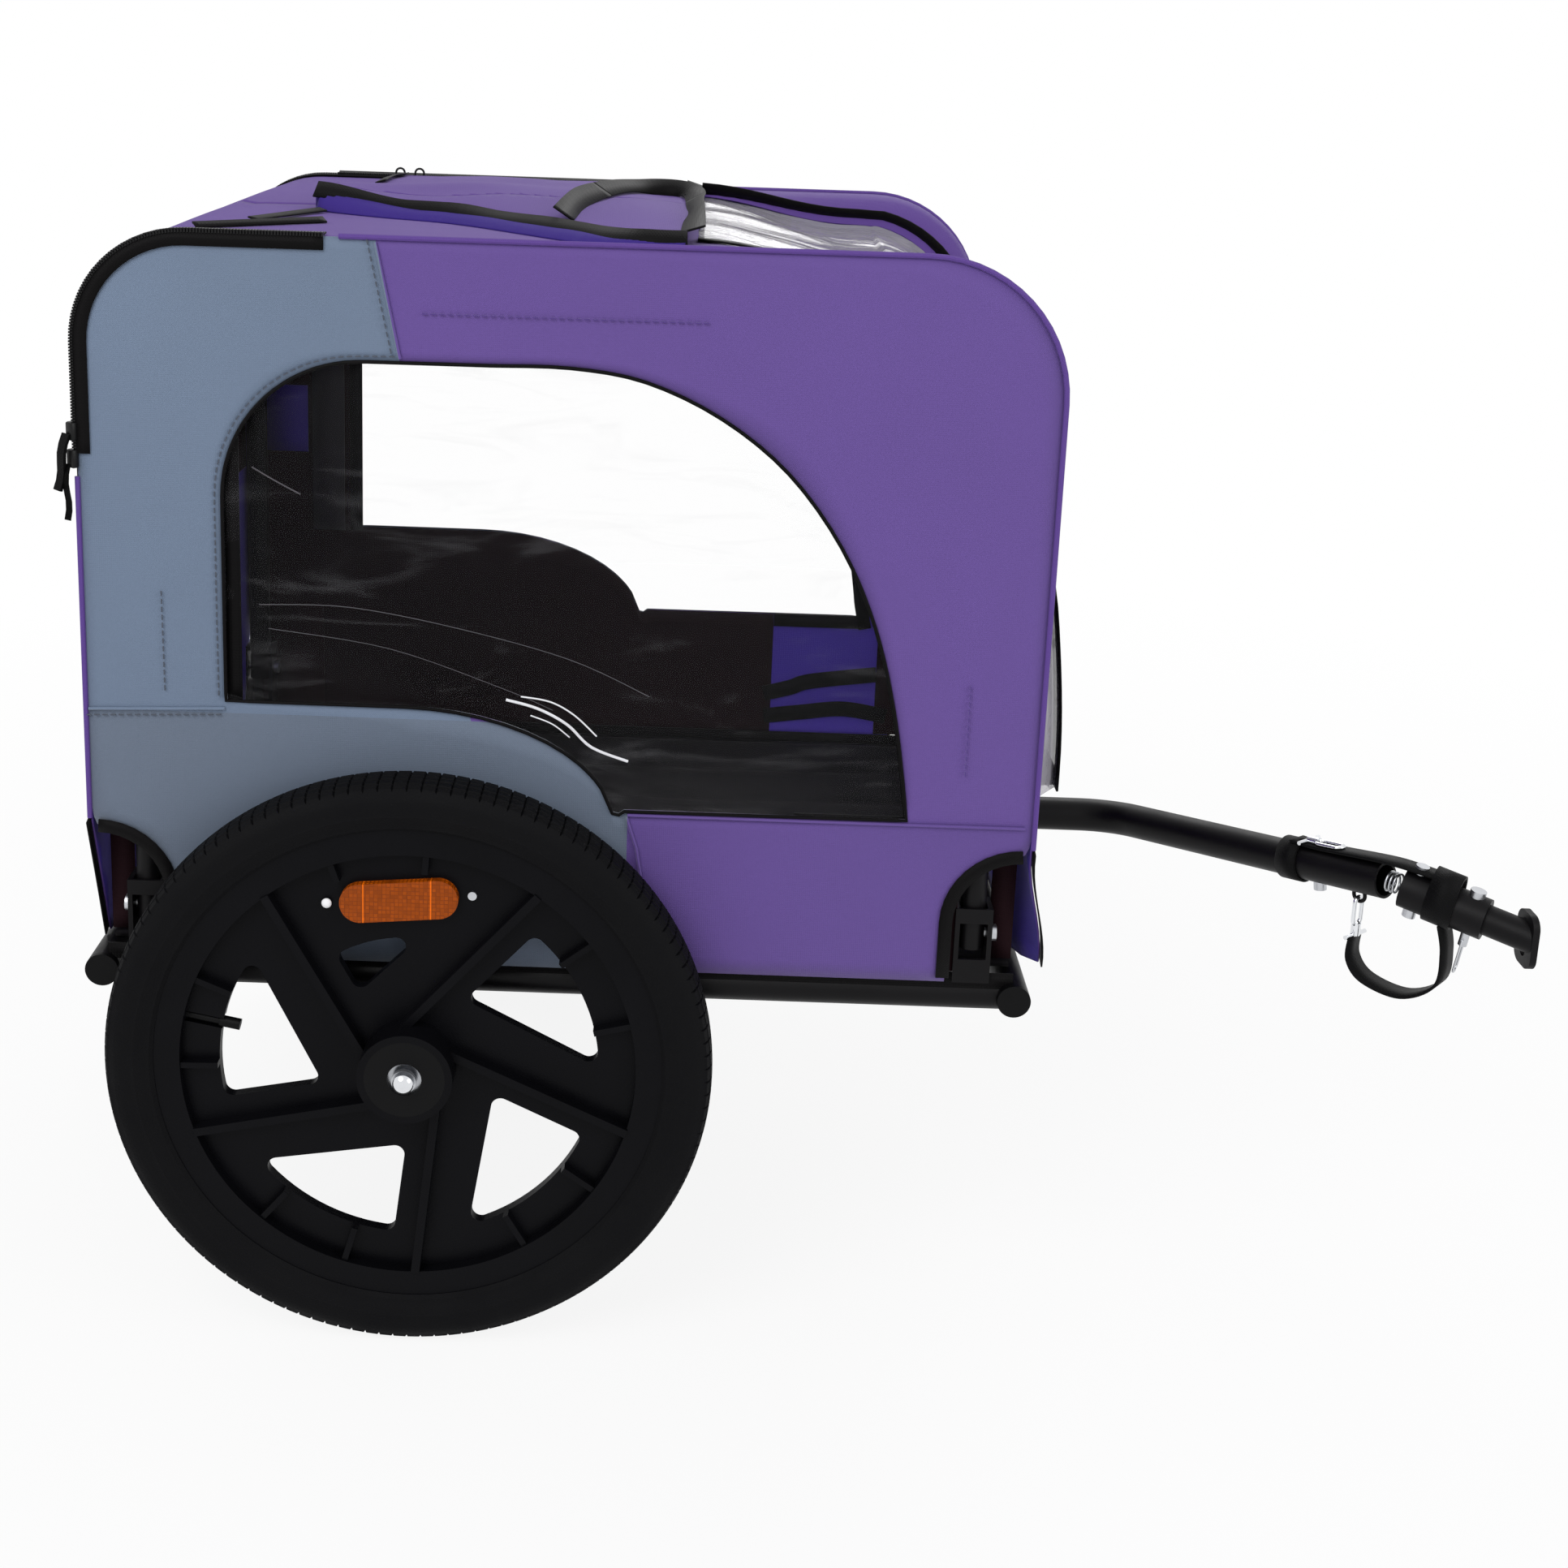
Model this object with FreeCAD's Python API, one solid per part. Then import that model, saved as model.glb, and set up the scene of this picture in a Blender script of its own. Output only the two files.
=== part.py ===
import FreeCAD, Part
import math
import os
from FreeCAD import Vector

# Dog bike trailer. Millimetres, +X forward to the bicycle, +Y to the left, +Z up.
# The origin is on the ground, under the middle of the trailer's overall length and width.
# Distances called x below are measured forward from the wheel axle, and heights called z up from it.

# Base frame
RAIL_R = 14.0             # outer radius of the base tubes
RAIL_WALL = 2.0
RAIL_Z = 56.0            # height of the base tubes' axes
FRONT_TUBE_X = 499.0
REAR_TUBE_X = -262.0
COPE_GAP = 0.2            # clearance of a coped tube end
CAP_T = 4.0               # end cap flange
CAP_PLUG_LENGTH = 14.0
CAP_PLUG_GAP = 0.2

# Folding side frames
HOOP_R = 11.0             # outer radius of the side frame tube
HOOP_WALL = 1.5
HOOP_TOP_GAP = 1.0        # clearance of the top rail under the roof cloth
HOOP_BEND_FRONT = 100.0
HOOP_BEND_REAR = 78.0
HOOP_TAIL = 12.0          # tube length below the fold pin
RIGHT_FRONT_X = 462.0     # the right frame nests inside the left one when both are folded
RIGHT_REAR_X = -224.0
NEST = 29.0
RIGHT_PIN_Z = 110.0
LEFT_PIN_Z = 137.0

# Fold brackets and their bolts
CHEEK_T = 4.0
CHEEK_GAP = 0.5           # clearance of the tube between the cheeks
BRACKET_IN = 13.0         # cheeks' inner and outer edges, from the fold pin's place
BRACKET_OUT = 10.9
BAR_T = 3.0               # outer wall that stops the tube from leaning out
BAR_TOP = 26.0            # outer wall's upper edge above the pin
BAR_LOW = 13.0            # its lower edge above the pin
BAR_GAP = 0.3
FOOT_DROP = 19.0          # lower wall's upper edge below the pin
PIN_R = 4.0
PIN_GAP = 0.08
BOLT_HEAD_R = 7.0
BOLT_HEAD_T = 5.0

# Fabric cover
CLOTH_T = 3.0
CLOTH_GAP = 0.5           # clearance between the side panels and the band
COVER_FRONT_X = 505.5     # outer faces of the band round the cabin
COVER_REAR_X = -267.5
COVER_TOP_Z = 673.0
COVER_HALF_W = 289.3
COVER_SIDE_GAP = 0.3      # clearance of the side frames inside the cover
CORNER_FRONT_R = 112.0
CORNER_REAR_R = 88.0
HEM_GAP = 0.5             # skirt hem above the rail
NOTCH_IN = 29.0           # corner openings that bare the fold brackets, inward from the pins
NOTCH_TOP_Z = 182.0
NOTCH_FRONT_X = 440.0
NOTCH_REAR_X = -203.0
FLOOR_T = 6.0
FLOOR_EDGE_GAP = 4.0
FLOOR_SEAT_GAP = 0.3

# Side windows, as the points of their outline in x and z
WINDOW_LEFT_X = -153.0
WINDOW_DROP = 97.0        # upper edge below the roof
WINDOW_REAR_R = 112.0
WINDOW_TOP_END_X = 120.0
WINDOW_BULGE_X = 292.0
WINDOW_BULGE_DROP = 74.0  # bulge of the front edge below the upper edge
WINDOW_RIGHT_X = 400.0
WINDOW_LOW_Z = 213.0
ARCH_FOOT_X = 166.0       # where the grey wheel arch patch meets the lower edge
ARCH_SHOULDER_X = 76.0
ARCH_SHOULDER_Z = 286.0
ARCH_END_X = -10.0
ARCH_TOP_Z = 296.0
PANE_T = 1.0
PANE_GAP = 0.3

# Front window, skylight and rear flap
FRONT_WIN_HALF_W = 215.0
FRONT_WIN_LOW_Z = 220.0
FRONT_WIN_DROP = 21.0     # upper edge below the roof's bend
SKY_HALF_W = 222.0
SKY_REAR_X = 215.0
SKY_FRONT_X = 388.0
FLAP_H = 223.0
FLAP_GAP = 2.0
FLAP_EDGE = 6.3           # rear panel left beside the flap

# Reflectors on the cover
REFLECTOR_W = 36.0
REFLECTOR_H = 62.0
REFLECTOR_T = 12.0
REFLECTOR_IN = 84.3       # its middle inward from the side of the cover
REFLECTOR_FRONT_Z = 177.0
REFLECTOR_REAR_Z = 153.0
REFLECTOR_ROUND = 5.0

# Wheels
WHEEL_R = 250.0
WHEEL_OUT = 33.7          # middle plane of each wheel outside the cover
TYRE_HALF_W = 23.5
TYRE_WALL = 4.5
TYRE_WIDEST_DEPTH = 23.0  # places on the tyre and the rim, inward from the tread
TYRE_SHOULDER_DEPTH = 7.0
TYRE_SHOULDER_HALF_W = 18.5
TYRE_DEPTH = 41.0
RIM_HALF_W = 14.0
RIM_LIP = 3.5
BEAD_DEPTH = 7.5          # bead seat and inner face, inward from the rim's edge
BEAD_GAP = 0.2
RIM_DEPTH = 22.0
WEB_T = 9.0
WEB_RING_W = 31.0         # ring that joins the spokes, inside the rim
HUB_R = 39.0
HUB_HALF_W = 32.0
RIB_W = 7.0
RIB_H = 11.0
RIB_IN_R = 34.0
RIB_SINK = 0.5
RIB_IN_DEG = 100.0
RIB_OUT_DEG = 56.0
STUB_RIB_W = 5.0
STUB_RIB_H = 8.0
STUB_RIB_DEGS = (37.5, 13.5)
STUB_NEAR_LENGTH = 16.0   # short ribs beside the reflector
STUB_NEAR = 1
SPOKES = 5
WINDOW_IN_SHARE = 0.3     # inner corner of a gap between spokes, from the hub to the ring
WINDOW_IN_DEG = 268.0
WINDOW_LEAD_DEG = 212.0
WINDOW_TRAIL_DEG = 265.0
WINDOW_REACH = 29.0       # how far a gap's straight sides run into the ring
WINDOW_FILLET = 8.0
REFLECTOR_SPOKE = 3       # the gap that holds the reflector plate
PLATE_IN_SHARE = 0.624    # the plate's edge, from the hub to the ring

# Hub, bearings and quick release axle
AXLE_R = 6.0
AXLE_GAP = 0.05
BEARING_R = 14.0
BEARING_W = 8.0
BEARING_RECESS = 4.0
HUB_BORE_R = 9.0
HUB_CAP_R = 33.0
HUB_CAP_T = 2.5
HUB_CAP_HOLE_R = 14.0
AXLE_HEAD_R = 10.0
AXLE_HEAD_T = 3.0
AXLE_HEAD_GAP = 0.4
BUTTON_R = 8.5
BUTTON_DOME = 4.5
BUTTON_TRAVEL = 4.0
STEM_R = 3.0
STEM_GAP = 0.06
STEM_LENGTH = 24.0
SOCKET_R = 12.0
SOCKET_LENGTH = 44.0
SOCKET_OUT = 13.0         # socket's outer end beside the rail's axis
PLATE_HALF_W = 36.0       # wheel bracket plate under the rail
PLATE_T = 7.0
PLATE_LOW = 22.0

# Wheel reflector, screws and valve
AMBER_LENGTH = 96.0
AMBER_W = 33.0
AMBER_T = 7.0
AMBER_IN = 41.0           # its centre inward from the rim's inner face
AMBER_DEG = 93.0
AMBER_TURN = 5.0
SCREW_R = 3.6
SCREW_T = 2.5
SCREW_REACH = 59.0
VALVE_DEG = 169.0
VALVE_R = 3.4
VALVE_CAP_R = 4.6
VALVE_LENGTH = 45.0
VALVE_CAP_LENGTH = 17.0

# Tow arm
ARM_R = 17.0
ARM_WALL = 2.5
ARM_Z = 39.0
ARM_Y = 170.0
PIVOT_OUT = 49.0          # pivot bolt ahead of the front tube
ARM_BEND_OUT = 120.0      # bend ahead of the pivot
ARM_BEND_R = 70.0
ARM_REACH = 324.0         # from the pivot to the middle of the spring
FLEX_Y = -106.0
FLEX_Z = 94.0
HITCH_REACH = 102.0       # from there to the front face of the hitch plate
HITCH_Y = -171.0
HITCH_Z = 76.0
ARM_TAIL = 19.0           # tube length behind the pivot bolt
ARM_SIDE_GAP = 0.4
BRACKET_T = 5.0
BRACKET_HALF_W = 25.0
BRACKET_FRONT = 24.0
PIVOT_R = 5.0
PIVOT_HEAD_R = 9.0
PIVOT_HEAD_T = 6.0
ARM_BOLT_R = 3.0
ARM_BOLT_BACK = 82.0      # bolt that holds the spring's plug in the arm, behind the spring
ARM_NUT_R = 6.0
ARM_NUT_T = 7.0

# Hitch coupling
FLEX_HALF = 9.0           # half the bare length between the arm and the sleeve
SPRING_R = 9.0            # middle of the spring's wire
SPRING_WIRE_R = 1.1
SPRING_TURNS = 3
SPRING_END_GAP = 0.3
TURN_CORNERS = 4          # arcs in one turn of the spring
CORNER_SAMPLES = 5        # points on each arc when its gaps are measured
SLEEVE_R = 19.0
SLEEVE_LENGTH = 75.0
COUPLER_BOLT_ALONG = 11.0 # bolt that holds the spring's plug, from the sleeve's rear face
INSERT_R = 14.0
INSERT_GAP = 0.05
INSERT_START = 18.0       # from the sleeve's rear face
HITCH_PLATE_T = 6.0
HITCH_PLATE_W = 36.0
HITCH_PLATE_TOP = 22.0
HITCH_PLATE_LOW = 28.0
HITCH_PLATE_ROUND = 12.0
HITCH_HOLE_R = 5.25
HITCH_HOLE_DROP = 14.0
HITCH_PIN_R = 4.0
HITCH_PIN_ALONG = 62.0    # from the sleeve's rear face
HITCH_PIN_TAIL = 13.0
HITCH_PIN_SEAT = 2.0      # how far the head's flats reach down round the sleeve
CLIP_WIRE_R = 1.0
CLIP_HALF_W = 6.0
CLIP_BEND = 5.4
CLIP_LENGTH = 34.0

# Safety strap: webbing round the sleeve, hanging in a loop to a snap hook under the arm
STRAP_W = 25.0
STRAP_T = 2.4
STRAP_GAP = 0.3
STRAP_ALONG = 36.0        # middle of the webbing on the sleeve, from the sleeve's rear face
STRAP_DROP = 78.0         # loop below the sleeve
# Points of the loop as shares of the run from the hook to the sleeve, and of the drop
LOOP_SHARES = ((0.0, 0.78), (0.22, 1.0), (0.72, 1.0), (1.12, 0.72), (1.16, 0.30))
BAND_BACK = 108.0         # webbing round the arm, behind the spring
EYE_BACK = 38.0           # welded eye under the arm, behind the spring
EYE_R = 6.0
EYE_WIRE_R = 1.8
SNAP_WIRE_R = 2.0
SNAP_HALF_W = 5.5
SNAP_LOOP = 17.0          # straight part of the hook's loop
SNAP_BARREL_R = 4.5
SNAP_BARREL = 10.0
SNAP_BAR_HALF = 15.0      # half the bar that takes the webbing
SNAP_GAP = 0.3

# Loosely folded roof flap
ROOF_FLAP_REAR_X = -168.0
ROOF_FLAP_FRONT_X = 206.0
ROOF_FLAP_RIGHT_Y = -150.0
ROOF_FLAP_LEFT_Y = 236.0
ROOF_FLAP_EDGE = 3.0      # thickness at its hems
ROOF_FLAP_RISE = 16.0     # its highest fold above the roof
# Stations along the flap, with the crests of its two folds as shares of the rise
ROOF_FOLD_SHARES = ((0.0, 0.35, 0.30), (0.30, 0.85, 0.45), (0.65, 0.60, 1.0), (1.0, 0.30, 0.40))
ROOF_VALLEY_SHARE = 0.52  # where the folds meet, across the flap

# Places across that follow from the cover's width
rail_y = COVER_HALF_W - CLOTH_T - COVER_SIDE_GAP - HOOP_R
bracket_in_y = rail_y - BRACKET_IN
bracket_out_y = rail_y + BRACKET_OUT
notch_y = rail_y - NOTCH_IN
socket_out_y = rail_y + SOCKET_OUT
flap_half_w = COVER_HALF_W - FLAP_EDGE
wheel_y = COVER_HALF_W + WHEEL_OUT
reflector_y = COVER_HALF_W - REFLECTOR_IN

pivot_x = FRONT_TUBE_X + PIVOT_OUT
flex_x = pivot_x + ARM_REACH
hitch_x = flex_x + HITCH_REACH

# Overall length, from the hitch plate to the rear reflectors, sets the origin
REAR_REACH = REFLECTOR_T - COVER_REAR_X
AXLE_X = (REAR_REACH - hitch_x) / 2
OVERRUN = 20.0
MEET = 0.001             # points closer than this are one

X, Y, Z = Vector(1, 0, 0), Vector(0, 1, 0), Vector(0, 0, 1)
SIDES = (("right", -1), ("left", 1))
parts = {}


def at(x, y, z):
    """Point from its x ahead of the axle, its y and its height above the axle."""
    return Vector(AXLE_X + x, y, WHEEL_R + z)


def rod(radius, start, end):
    """Solid cylinder between two points."""
    return Part.makeCylinder(radius, start.distanceToPoint(end), start, end - start)


def pipe(radius, wall, start, end):
    """Round tube between two points."""
    return rod(radius, start, end).cut(rod(radius - wall, start, end))


def block(low, high):
    """Box between two corner points."""
    size = high - low
    return Part.makeBox(size.x, size.y, size.z, low)


def polar(radius, degrees):
    """Point of the wheel's XZ plane, about the axle, seen from the right."""
    a = math.radians(degrees)
    return Vector(radius * math.cos(a), 0, radius * math.sin(a))


def rounded_path(points, radii):
    """Wire of straight runs through points, with a tangent arc at each inner point."""
    edges, start = [], points[0]
    for before, corner, after, radius in zip(points, points[1:], points[2:], radii):
        back, ahead = (before - corner).normalize(), (after - corner).normalize()
        half = back.getAngle(ahead) / 2
        first, last = corner + back * (radius / math.tan(half)), corner + ahead * (radius / math.tan(half))
        middle = corner + (back + ahead).normalize() * (radius / math.sin(half) - radius)
        if start.distanceToPoint(first) > MEET:
            edges.append(Part.LineSegment(start, first).toShape())
        edges.append(Part.Arc(first, middle, last).toShape())
        start = last
    if start.distanceToPoint(points[-1]) > MEET:
        edges.append(Part.LineSegment(start, points[-1]).toShape())
    return Part.Wire(edges)


def snug_radii(points):
    """Largest bend radii at the inner points for which neighbouring arcs still meet."""
    radii = []
    ends = (points[0], points[-1])
    for before, corner, after in zip(points, points[1:], points[2:]):
        rooms = [corner.distanceToPoint(p) / (1 if p in ends else 2) for p in (before, after)]
        radii.append(min(rooms) * math.tan((before - corner).getAngle(after - corner) / 2))
    return radii


def swept(path, radius, wall):
    """Bent round tube along a path of lines and arcs."""
    return wire_rod(path, radius).cut(wire_rod(path, radius - wall))


def wire_rod(path, radius):
    """Solid round bar along a path of lines and arcs."""
    first = path.OrderedEdges[0]
    along = first.tangentAt(first.FirstParameter)
    section = Part.Wire(Part.makeCircle(radius, path.OrderedVertexes[0].Point, along))
    return path.makePipeShell([section], True, False)


def prism(wire, y_low, y_high):
    """Solid of an XZ outline, from one y to another."""
    face = Part.Face(wire)
    face.translate(Vector(0, y_low, 0))
    return face.extrude(Vector(0, y_high - y_low, 0))


def mirrored(shape, side):
    """The shape modelled for the left, or its mirror image for the right."""
    return shape if side > 0 else shape.mirror(Vector(0, 0, 0), Y)


def fused(shapes):
    """One solid of several that touch or overlap."""
    return shapes[0].multiFuse(shapes[1:]).removeSplitter()


def group(shapes):
    """Separate solids kept in one node."""
    return Part.makeCompound(shapes)


def turned_about_axle(shape, side):
    """A wheel piece modelled about the origin for the right side, set on its axle."""
    piece = shape.copy()
    if side > 0:
        piece.rotate(Vector(0, 0, 0), Z, 180)
    piece.translate(at(0, side * wheel_y, 0))
    return piece


# Base frame: two cross tubes with plugged ends, and two side rails coped between them
tube_end_y = rail_y + RAIL_R
caps = []
for name, x in (("front_cross_tube", FRONT_TUBE_X), ("rear_cross_tube", REAR_TUBE_X)):
    parts[name] = pipe(RAIL_R, RAIL_WALL, at(x, -tube_end_y, RAIL_Z), at(x, tube_end_y, RAIL_Z))
    for _, side in SIDES:
        lip = rod(RAIL_R, at(x, side * tube_end_y, RAIL_Z), at(x, side * (tube_end_y + CAP_T), RAIL_Z))
        plug_in = at(x, side * (tube_end_y - CAP_PLUG_LENGTH), RAIL_Z)
        plug = rod(RAIL_R - RAIL_WALL - CAP_PLUG_GAP, plug_in, at(x, side * tube_end_y, RAIL_Z))
        caps.append(fused([lip, plug]))
parts["tube_end_caps"] = group(caps)

for name, side in SIDES:
    rail_rear, rail_front = (at(x, side * rail_y, RAIL_Z) for x in (REAR_TUBE_X, FRONT_TUBE_X))
    rail = pipe(RAIL_R, RAIL_WALL, rail_rear, rail_front)
    for x in (FRONT_TUBE_X, REAR_TUBE_X):
        reach = tube_end_y + OVERRUN
        rail = rail.cut(rod(RAIL_R + COPE_GAP, at(x, -reach, RAIL_Z), at(x, reach, RAIL_Z)))
    parts[name + "_side_rail"] = max(rail.Solids, key=lambda s: s.Volume)

# Fold brackets, their bolts, and the hoops that fold inward about them
rail_top = RAIL_Z + RAIL_R
hoop_top_z = COVER_TOP_Z - CLOTH_T - HOOP_TOP_GAP - HOOP_R
hoop_x = {"right": (RIGHT_REAR_X, RIGHT_FRONT_X), "left": (RIGHT_REAR_X - NEST, RIGHT_FRONT_X + NEST)}
pin_z = {"right": RIGHT_PIN_Z, "left": LEFT_PIN_Z}
cheek_in = HOOP_R + CHEEK_GAP
cheek_out = cheek_in + CHEEK_T


def fold_bracket(x, z):
    """Channel on the left rail: two cheeks, and outer walls above and below the pin."""
    outer = block(at(x - cheek_out, bracket_in_y, rail_top),
                  at(x + cheek_out, bracket_out_y + BAR_T, z + BAR_TOP))
    slot = block(at(x - cheek_in, bracket_in_y - OVERRUN, rail_top + CHEEK_T),
                 at(x + cheek_in, rail_y + HOOP_R + BAR_GAP, z + BAR_TOP + OVERRUN))
    gap = block(at(x - cheek_in, rail_y, z - FOOT_DROP),
                at(x + cheek_in, bracket_out_y + OVERRUN, z + BAR_LOW))
    hole = rod(PIN_R, at(x - cheek_out - OVERRUN, rail_y, z), at(x + cheek_out + OVERRUN, rail_y, z))
    return outer.cut(slot).cut(gap).cut(hole)


def fold_bolt(x, z):
    """Bolt through both cheeks, with its head in front and its nut behind."""
    pieces = [rod(PIN_R, at(x - cheek_out, rail_y, z), at(x + cheek_out, rail_y, z))]
    for way in (-1, 1):
        face = at(x + way * cheek_out, rail_y, z)
        pieces.append(rod(BOLT_HEAD_R, face, face + X * (way * BOLT_HEAD_T)))
    return fused(pieces)


for name, side in SIDES:
    z = pin_z[name]
    rear_x, front_x = hoop_x[name]
    brackets = [fold_bracket(x, z) for x in (rear_x, front_x)]
    bolts = [fold_bolt(x, z) for x in (rear_x, front_x)]
    parts[name + "_fold_brackets"] = group([mirrored(b, side) for b in brackets])
    parts[name + "_fold_bolts"] = group([mirrored(b, side) for b in bolts])
    foot = z - HOOP_TAIL
    corners = [at(rear_x, rail_y, foot), at(rear_x, rail_y, hoop_top_z),
               at(front_x, rail_y, hoop_top_z), at(front_x, rail_y, foot)]
    hoop = swept(rounded_path(corners, (HOOP_BEND_REAR, HOOP_BEND_FRONT)), HOOP_R, HOOP_WALL)
    reach = cheek_out + OVERRUN
    for x in (rear_x, front_x):
        hoop = hoop.cut(rod(PIN_R + PIN_GAP, at(x - reach, rail_y, z), at(x + reach, rail_y, z)))
    parts[name + "_side_frame"] = mirrored(hoop, side)


# Fabric cover: a band over the rear, roof and front, with the side panels inside its edges
def cabin_outline(inset, low_z):
    """Outline of the cabin's side, drawn in from the band's outer face."""
    rear, front, top = COVER_REAR_X + inset, COVER_FRONT_X - inset, COVER_TOP_Z - inset
    corners = [at(rear, 0, low_z), at(rear, 0, top), at(front, 0, top), at(front, 0, low_z)]
    path = rounded_path(corners, (CORNER_REAR_R - inset, CORNER_FRONT_R - inset))
    return Part.Wire(path.OrderedEdges + [Part.LineSegment(corners[-1], corners[0]).toShape()])


hem_z = rail_top + HEM_GAP
outside = prism(cabin_outline(0, hem_z), -COVER_HALF_W, COVER_HALF_W)
reach_y = COVER_HALF_W + OVERRUN
inside = prism(cabin_outline(CLOTH_T, hem_z - OVERRUN), -reach_y, reach_y)
band = outside.cut(inside)
for _, side in SIDES:
    for x_in, x_out in ((NOTCH_FRONT_X, COVER_FRONT_X + OVERRUN), (COVER_REAR_X - OVERRUN, NOTCH_REAR_X)):
        y_low, y_high = sorted((side * notch_y, side * reach_y))
        band = band.cut(block(at(x_in, y_low, hem_z - OVERRUN), at(x_out, y_high, NOTCH_TOP_Z)))

front_split_z = COVER_TOP_Z - CORNER_FRONT_R
rear_split_z = COVER_TOP_Z - CORNER_REAR_R
middle_x = (COVER_FRONT_X + COVER_REAR_X) / 2
front_half = block(at(middle_x, -reach_y, hem_z - OVERRUN),
                   at(COVER_FRONT_X + OVERRUN, reach_y, front_split_z))
rear_half = block(at(COVER_REAR_X - OVERRUN, -reach_y, hem_z - OVERRUN),
                  at(middle_x, reach_y, rear_split_z))
front_wall, rear_wall = band.common(front_half), band.common(rear_half)
roof = band.cut(front_half).cut(rear_half)

front_in_x = COVER_FRONT_X - CLOTH_T
rear_in_x = COVER_REAR_X + CLOTH_T
front_win_top_z = front_split_z - FRONT_WIN_DROP
front_hole = block(at(front_in_x - OVERRUN, -FRONT_WIN_HALF_W, FRONT_WIN_LOW_Z),
                   at(COVER_FRONT_X + OVERRUN, FRONT_WIN_HALF_W, front_win_top_z))
parts["front_panel"] = front_wall.cut(front_hole)
pane_y = FRONT_WIN_HALF_W - PANE_GAP
parts["front_window"] = block(at(front_in_x, -pane_y, FRONT_WIN_LOW_Z + PANE_GAP),
                              at(front_in_x + PANE_T, pane_y, front_win_top_z - PANE_GAP))

roof_in_z = COVER_TOP_Z - CLOTH_T
sky_hole = block(at(SKY_REAR_X, -SKY_HALF_W, roof_in_z - OVERRUN),
                 at(SKY_FRONT_X, SKY_HALF_W, COVER_TOP_Z + OVERRUN))
parts["roof_panel"] = roof.cut(sky_hole)
sky_y = SKY_HALF_W - PANE_GAP
parts["skylight"] = block(at(SKY_REAR_X + PANE_GAP, -sky_y, roof_in_z),
                          at(SKY_FRONT_X - PANE_GAP, sky_y, roof_in_z + PANE_T))

flap_top_z = rear_split_z - FLAP_GAP
flap_low_z = flap_top_z - FLAP_H
flap_hole = block(at(COVER_REAR_X - OVERRUN, -flap_half_w, flap_low_z),
                  at(rear_in_x + OVERRUN, flap_half_w, rear_split_z + OVERRUN))
parts["rear_panel"] = rear_wall.cut(flap_hole)
flap_y = flap_half_w - PANE_GAP
parts["rear_flap"] = block(at(COVER_REAR_X, -flap_y, flap_low_z + PANE_GAP),
                           at(rear_in_x, flap_y, flap_top_z))


window_top_z = COVER_TOP_Z - WINDOW_DROP
bulge_z = window_top_z - WINDOW_BULGE_DROP


def window_outline(grow):
    """Side window: rounded rear, swept front, and a foot that follows the wheel arch."""
    left, right = WINDOW_LEFT_X - grow, WINDOW_RIGHT_X + grow
    top, low = window_top_z + grow, WINDOW_LOW_Z - grow
    arch_end = at(ARCH_END_X, 0, ARCH_TOP_Z - grow)
    arch_foot = at(ARCH_FOOT_X - grow, 0, low)
    lean = WINDOW_REAR_R * (1 - math.sqrt(1 / 2))
    line = Part.LineSegment
    edges = [
        line(at(left, 0, ARCH_TOP_Z - grow), at(left, 0, top - WINDOW_REAR_R)),
        Part.Arc(at(left, 0, top - WINDOW_REAR_R), at(left + lean, 0, top - lean),
                 at(left + WINDOW_REAR_R, 0, top)),
        line(at(left + WINDOW_REAR_R, 0, top), at(WINDOW_TOP_END_X, 0, top)),
        Part.Arc(at(WINDOW_TOP_END_X, 0, top), at(WINDOW_BULGE_X + grow, 0, bulge_z + grow),
                 at(right, 0, low)),
        line(at(right, 0, low), arch_foot),
        Part.Arc(arch_foot, at(ARCH_SHOULDER_X - grow, 0, ARCH_SHOULDER_Z - grow), arch_end),
        line(arch_end, at(left, 0, ARCH_TOP_Z - grow)),
    ]
    return Part.Wire([edge.toShape() for edge in edges])


panel_in_y = COVER_HALF_W - CLOTH_T
panel_inset = CLOTH_T + CLOTH_GAP
for name, side in SIDES:
    whole = prism(cabin_outline(panel_inset, hem_z), panel_in_y, COVER_HALF_W)
    for x_in, x_out in ((NOTCH_FRONT_X, COVER_FRONT_X), (NOTCH_REAR_X, COVER_REAR_X)):
        lift = (x_out - x_in) / 2
        corner = [at(x_in, 0, hem_z - OVERRUN), at(x_in, 0, NOTCH_TOP_Z - abs(lift)),
                  at(x_in + lift, 0, NOTCH_TOP_Z), at(x_out, 0, NOTCH_TOP_Z), at(x_out, 0, hem_z - OVERRUN)]
        whole = whole.cut(prism(Part.makePolygon(corner + corner[:1]), panel_in_y - OVERRUN, reach_y))
    hole = prism(window_outline(0), panel_in_y - OVERRUN, reach_y)
    above = block(at(COVER_REAR_X, 0, pin_z[name] + CLOTH_GAP), at(COVER_FRONT_X, reach_y, COVER_TOP_Z))
    below = block(at(COVER_REAR_X, 0, hem_z - OVERRUN), at(COVER_FRONT_X, reach_y, pin_z[name]))
    parts[name + "_side_panel"] = mirrored(whole.cut(hole).common(above), side)
    parts[name + "_skirt"] = mirrored(whole.common(below), side)
    pane = prism(window_outline(-PANE_GAP), panel_in_y, panel_in_y + PANE_T)
    parts[name + "_side_window"] = mirrored(pane, side)

floor_y = bracket_in_y - FLOOR_EDGE_GAP
floor_z = rail_top + FLOOR_SEAT_GAP
parts["floor_mat"] = block(at(rear_in_x + FLOOR_EDGE_GAP, -floor_y, floor_z),
                           at(front_in_x - FLOOR_EDGE_GAP, floor_y, floor_z + FLOOR_T))


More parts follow.
